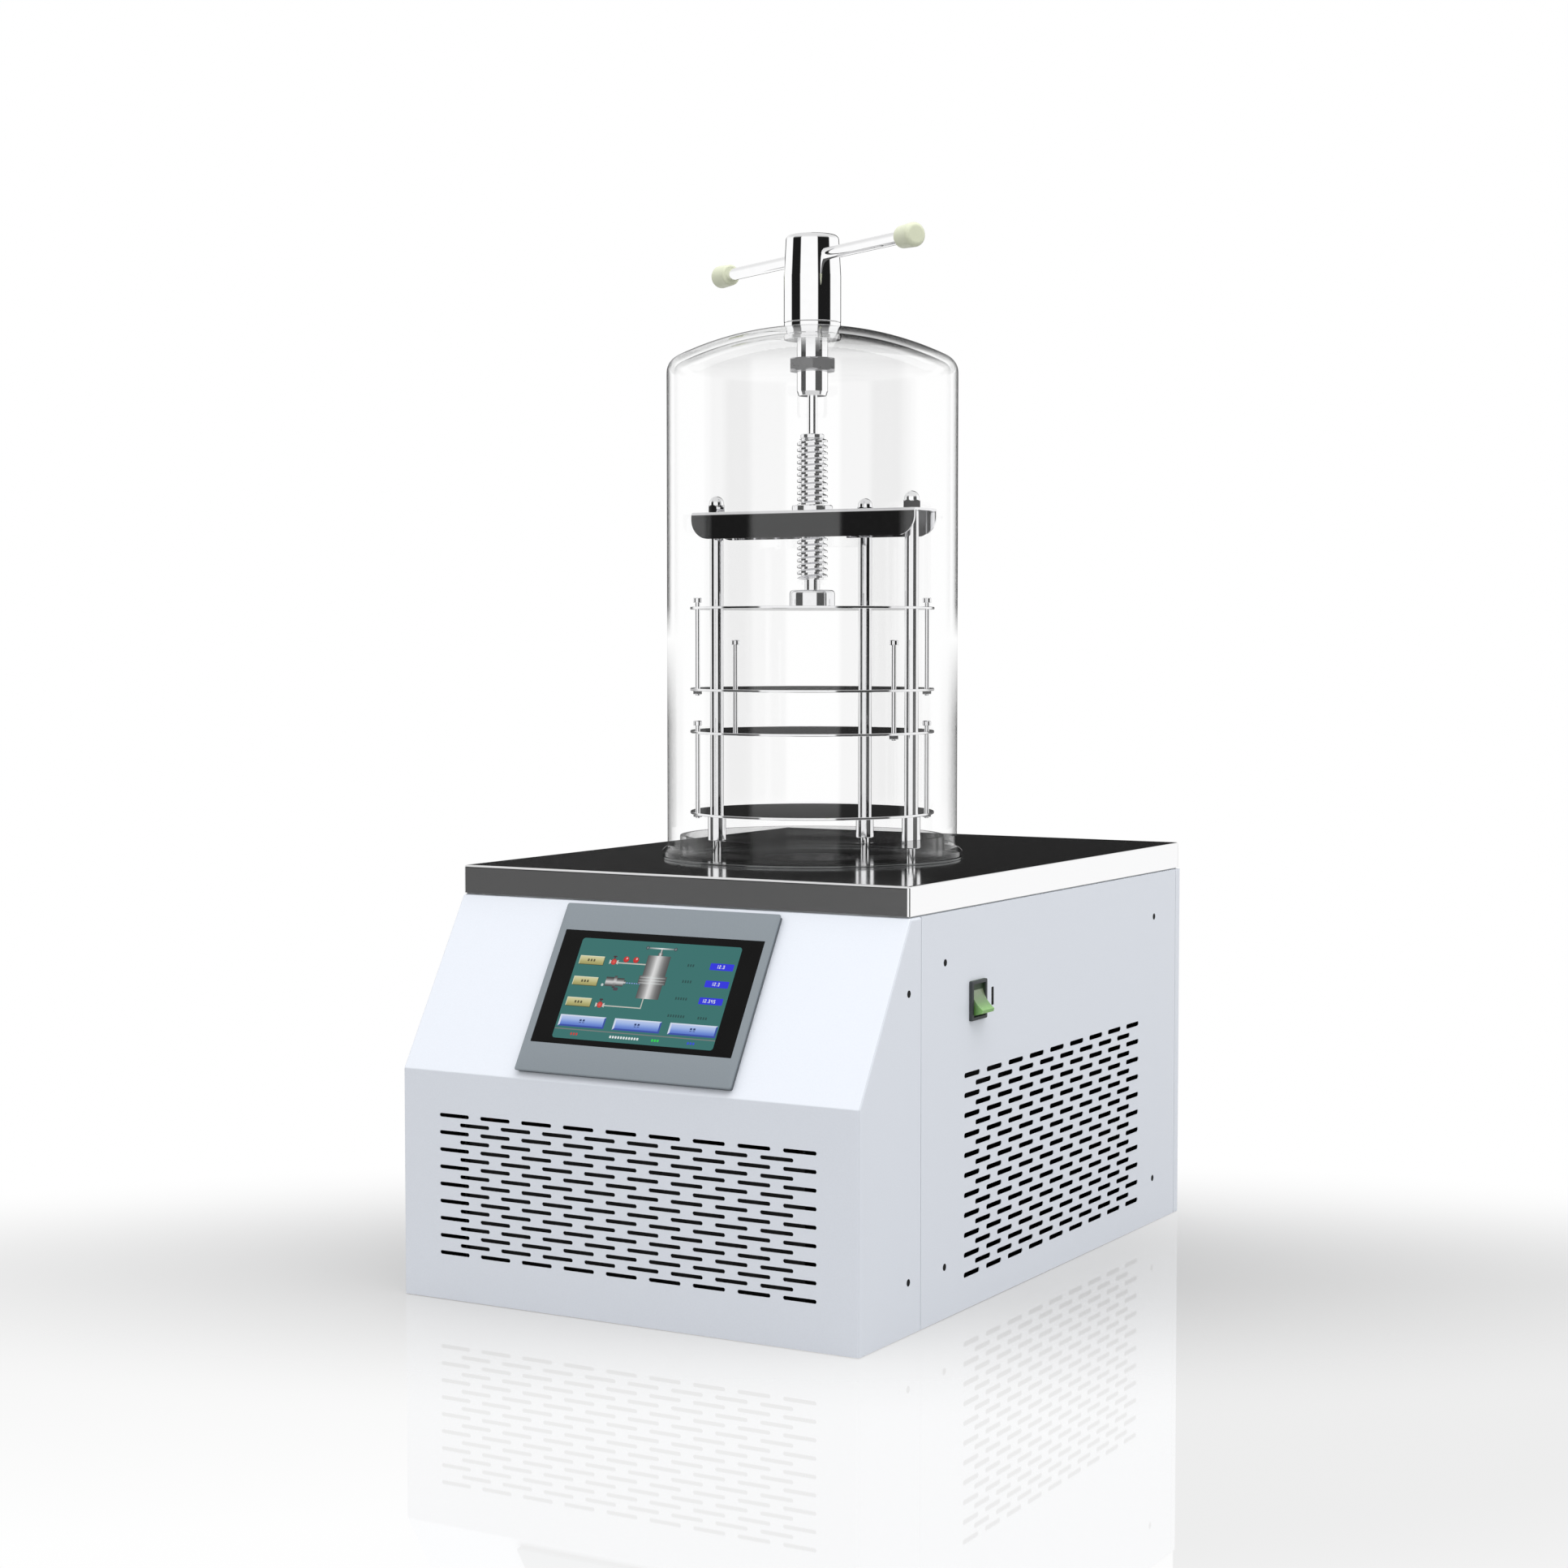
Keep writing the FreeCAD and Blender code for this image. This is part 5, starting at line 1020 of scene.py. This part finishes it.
# %% Buttons and values
khaki = [ink(166, 160, 100), ink(190, 184, 124), ink(214, 209, 158), ink(226, 222, 176)]
for low in (95.3, 77.9, 60.5):
    box_patch(-67.4, low - 0.5, 22.1, 7.1, ink(70, 84, 62), 1, 0.4)
    stripes(-67.7, low, 21.9, 7, khaki, 2, upwards=True)
    box_patch(-67.7, low + 6.5, 21.9, 0.5, ink(244, 242, 214), 3)
    box_patch(-67.7, low, 0.5, 7, ink(238, 236, 204), 3)
    for x in (-60.3, -57.7, -55.1):
        box_patch(x, low + 2.4, 1.6, 2.1, ink(96, 92, 62), 4, 0.3)
blues = [ink(94, 126, 214), ink(120, 150, 228), ink(152, 180, 240), ink(180, 202, 248), ink(196, 212, 250)]
for left, right in ((-68.7, -27.6), (-19.9, 21.5), (28.9, 70.0)):
    box_patch(left, 43.4, right - left, 9.5, ink(60, 84, 176), 1)
    bevel = [(left, 43.4), (left + 1.6, 44.8), (left + 1.6, 51.8), (right - 1.4, 51.8)]
    plain(bevel + [(right, 52.9), (left, 52.9)], ink(222, 232, 252), 2)
    stripes(left + 1.6, 44.8, right - left - 3, 7, blues, 3, upwards=True)
    for x in ((left + right) / 2 - 2.4, (left + right) / 2 + 0.4):
        box_patch(x, 47, 1.9, 0.5, ink(44, 62, 110), 4)
        box_patch(x, 48.2, 1.9, 1.6, ink(52, 70, 120), 4, 0.2)
values = (("12.3", 48.2, 97.3, 5.6), ("12.3", 48.2, 83.2, 5.6), ("12.345", 47.4, 69.3, 2.6))
for text, x, s, indent in values:
    box_patch(x, s, 20.3, 5.5, ink(52, 56, 236), 2, 0.6)
    number(text, x + indent, s + 1.4, 2.8, white_ink, 3)
labels = ((28.6, 98.6, 6.4), (28.2, 85.4, 6.8), (26.6, 71.4, 9.0), (24.5, 57.2, 15.0), (50.6, 57.0, 7.4))
for x, s, wide in labels:
    for step in np.arange(0, wide, 2.2):
        box_patch(x + step, s, 1.3, 2.2, ink(44, 84, 82), 1, 0.3)
box_patch(-70.4, 40.9, 141.4, 0.8, ink(128, 134, 132), 1)
reds, greens, blues = ink(206, 70, 66), ink(50, 226, 84), ink(56, 84, 226)
for start, count, colour in ((-55, 3, reds), (-20, 11, white_ink), (17, 3, greens), (48, 3, blues)):
    for x in start + 2.4 * np.arange(count):
        box_patch(x, 36.6, 1.6, 2, colour, 1, 0.4)

# %% The picture as one mesh
screen_height, lift_step = 4.88, 0.012
points, faces = joined(*[
    (np.column_stack([flat, np.full(len(flat), screen_height + lift_step * lift)]), faces)
    for flat, faces, _, lift in picture
])
screen = mesh_of("screen_picture", *on_slope((points, faces)))
shade = screen.attributes.new("ink", "FLOAT_COLOR", "POINT")
rgba = np.column_stack([np.concatenate([colours for _, _, colours, _ in picture]), np.ones(len(points))])
shade.data.foreach_set("color", rgba.ravel())
screen_piece = put("screen_picture", screen)
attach(screen_piece, "cabinet")
tree, shader = shader_of("display")
feed(tree, add(tree, "Attribute", attribute_name="ink").outputs["Color"], shader.inputs["Emission Color"])
shader.inputs["Emission Strength"].default_value = 0.82
screen.materials.append(look["display"])
print("screen_picture:", len(faces), "patches")

# %% [markdown]
# ## The switch
#
# A green rocker sits in a dark frame on the side panel. Its face is hollow, so a finger finds it, and
# its lower lip stands out. The model's rocker has that form, so a smooth copy of it is enough. The frame
# gets a softened front edge. Beside the switch, a short upright black mark shows the on side.

# %% Switch frame and mark
switch_middle = sum(edges("switch_frame"))[1:] / 2


def on_side(shape):
    """(x, y, h) of a flat drawing goes to (panel + h, x, y): x runs to the back, y runs up."""
    points, faces = shape
    return np.column_stack([side_x + points[:, 2], points[:, 0], points[:, 1]]), faces


window = rounded_rectangle(20.6, 25.2, 0.6)
rings, heights = soft_edge(27, 30.3, 1.2, 0.8, 2.5)
rings = [rounded_rectangle(27, 30.3, 1.2), *rings, window, window, window * 0.985]
switch_rim = moved(stacked(rings, [0.02, *heights, 2.5, -8.0, -8.0]), *switch_middle)
piece("switch_rim", on_side(switch_rim), "switch_plastic", "cabinet", ["switch_frame"])
smooth_copy("rocker_smooth", "switch_rocker", "rocker_plastic", "rocker", crisp=40)
mark = moved(slab(4.0, 14.0, 0.8, -0.4, 0.06, 0.03), -82.4, 233.4)
piece("on_mark", on_side(mark), "screw_black", "cabinet")
print("switch at", np.round(switch_middle, 1).tolist())

# %% [markdown]
# ## Camera
#
# The machine is seen from its front right corner, a little above its middle, with a long lens. A long
# lens keeps upright edges parallel, as in a product picture.

# %% Camera
camera_heading, camera_dip = math.radians(29.882), math.radians(2.946)
camera_data = bpy.data.cameras.new("camera")
camera_data.lens = 64.70
camera_data.sensor_width = 36.0
camera_turn = (math.pi / 2 - camera_dip, 0, camera_heading)
camera = put("camera", camera_data, (1.1321, -2.0254, 0.5065), camera_turn)
bpy.context.scene.camera = camera
print("lens", camera_data.lens, "mm")

# %% [markdown]
# ## Studio
#
# A white floor, a white background and soft light from all round suit a pale machine. Polished metal
# would then be white on white, so dark flags stand beside the set: the metal reflects them as dark
# bands, and clear edges turn dark. A low dark screen behind the set turns the top plate black, and a
# taller one on the right shades the dome. Here the surroundings do that. Rays that leave a polished
# surface see a bright room with these screens, with a dark grey floor under them, and rays that light a
# dull surface see plain soft light.

# %% Surroundings
world = bpy.data.worlds.new("studio")
bpy.context.scene.world = world
world.use_nodes = True
sky = world.node_tree
sky.nodes.clear()


def around(*stops):
    """Levels at headings, given in degrees from -180 to 180 away from the camera's side."""
    return graded(sky, bearing, [(0.5 + degrees / 360, level) for degrees, level in stops])


def times(level, share):
    """A level times a share."""
    return calc(sky, "MULTIPLY", level, share)


def less(level, mask, share=1.0):
    """A level darkened by a share of itself where the mask is 1."""
    return times(level, calc(sky, "SUBTRACT", 1, times(mask, share)))


def rotated(across, along):
    """x across + y along: one component of the direction after a turn about the upright."""
    return calc(sky, "ADD", times(x, across), times(y, along))


x, y, z = add(sky, "SeparateXYZ", {0: add(sky, "TexCoord").outputs["Generated"]}).outputs
rightwards = rotated(math.cos(camera_heading), math.sin(camera_heading))
forwards = rotated(math.sin(camera_heading), -math.cos(camera_heading))
bearing = calc(sky, "MULTIPLY_ADD", calc(sky, "ARCTAN2", rightwards, forwards), 0.5 / math.pi, 0.5)
downwards = times(z, -1)
dark, bright = 0.012, 1.0
room = around(
    (-95.5, bright), (-91.5, dark), (-52.5, dark), (-49, bright),
    (20, bright), (23, dark), (75, dark), (79, bright),
)
behind = around((-158, 1), (-150, 0), (150, 0), (158, 1))
behind_right = around((150, 0), (158, 1))
far_sides = around((-144, 1), (-136, 0), (136, 0), (144, 1))
low_band = graded(sky, z, [(0.0, 0), (0.012, 1), (0.18, 1), (0.30, 0)])
tall_band = graded(sky, z, [(0.0, 0), (0.012, 1), (0.62, 1), (0.80, 0)])
edge_band = graded(sky, downwards, [(0.0, 0), (0.03, 1), (0.20, 1), (0.28, 0)])
overhead = graded(sky, z, [(0.25, 0), (0.6, 1)])
below = graded(sky, downwards, [(0.005, 0), (0.03, 1)])
screens = calc(sky, "MAXIMUM", times(behind, low_band), times(behind_right, tall_band))
banded = calc(sky, "ADD", less(room, overhead), times(overhead, 0.75))
edged = less(less(banded, screens, 0.985), times(far_sides, edge_band), 0.9)
polished_view = calc(sky, "MAXIMUM", edged, times(below, 0.10))
soft_light = graded(sky, z, [(0.0, 0.50), (0.05, 0.52), (1.0, 1.62)])
path = add(sky, "LightPath").outputs
seen = soft_light
rays = {"Is Glossy Ray": polished_view, "Is Transmission Ray": room, "Is Camera Ray": 1.0}
for ray, level in rays.items():
    seen = calc(sky, "ADD", times(path[ray], level), less(seen, path[ray]))
shine = add(sky, "Background", {"Color": seen}).outputs[0]
add(sky, "OutputWorld", {"Surface": shine})
print(len(sky.nodes), "nodes in the surroundings")

# %% [markdown]
# ## Floor
#
# The floor is a slightly glossy table. It keeps the machine's soft shadow and a faint mirror image. Its
# grey shows only inside an oval that is twice as wide as deep, turned towards the camera: a painted
# shadow round the machine, which fades into the white background so that no horizon shows.

# %% Floor
floor_radius, floor_points = 1400, 96
angle = np.linspace(0, 2 * np.pi, floor_points, endpoint=False)
rim = floor_radius * np.column_stack([np.cos(angle), np.sin(angle), 0 * angle])
floor_mesh = mesh_of("floor", rim, [list(range(floor_points))])
floor = put("floor", floor_mesh, (0, 0, -0.0005))
table = bpy.data.materials.new("white_table")
table.use_nodes = True
tree = table.node_tree
tree.nodes.clear()
point = object_point(tree)
forward, floor_shadow_grey = 0.05, 0.42
placing = {
    "Vector": point, "Rotation": (0, 0, camera_heading), "Scale": (2.0, 1.0, 1.0),
    "Location": (forward * math.sin(camera_heading), -forward * math.cos(camera_heading), 0),
}
oval = add(tree, "Mapping", placing, vector_type="TEXTURE").outputs[0]
oval_distance = add(tree, "VectorMath", {0: oval}, operation="LENGTH").outputs["Value"]
distance = add(tree, "VectorMath", {0: point}, operation="LENGTH").outputs["Value"]
behind_middle = add(tree, "SeparateXYZ", {0: oval}).outputs["Y"]
# painted shadow: inside the oval the camera sees mostly the grey floor, and beyond it white
far = ranged(tree, oval_distance, 0.10, 0.48, 0.35, 1.0, "SMOOTHSTEP")
front_share = ranged(tree, behind_middle, -0.10, 0.30, 0.15, 0.0, "SMOOTHSTEP")
near_share = ranged(tree, distance, 0.75, 1.15, 1.0, 0.0, "SMOOTHSTEP")
mirror_share = calc(tree, "MULTIPLY", front_share, near_share)
white_share = calc(tree, "MULTIPLY", far, add(tree, "LightPath").outputs["Is Camera Ray"])
matt = add(tree, "BsdfDiffuse", {"Color": (*[floor_shadow_grey] * 3, 1)}).outputs[0]
white = add(tree, "Emission", {"Color": (1, 1, 1, 1)}).outputs[0]
mirror = add(tree, "BsdfGlossy", {"Color": (1, 1, 1, 1), "Roughness": 0.02}).outputs[0]
faded = add(tree, "MixShader", {0: white_share, 1: matt, 2: white}).outputs[0]
glossed = add(tree, "MixShader", {0: mirror_share, 1: faded, 2: mirror}).outputs[0]
add(tree, "OutputMaterial", {"Surface": glossed})
floor_mesh.materials.append(table)
print("floor", 2 * floor_radius * MM, "m across")

# %% [markdown]
# ## Lamp
#
# One wide, weak lamp above the front right gives the slope its brighter tone and a soft direction to
# the shadows. It is larger than the machine, so that no shadow has a hard edge.

# %% Lamp
lamp_data = bpy.data.lights.new("overhead_lamp", "AREA")
lamp_data.shape = "RECTANGLE"
lamp_data.size, lamp_data.size_y = 2.4, 2.0
lamp_data.energy = 30.0
lamp_place = np.array([0.9, -0.6, 2.8])
x_way, y_way, z_way = [0, 0, 0.3] - lamp_place
lamp_turn = (math.atan2(math.hypot(x_way, y_way), -z_way), 0, math.atan2(y_way, x_way) - math.pi / 2)
lamp = put("overhead_lamp", lamp_data, lamp_place, lamp_turn)
lamp.visible_glossy = False
bpy.context.scene.view_settings.view_transform = "Standard"
print("lamp", lamp_data.energy, "W")
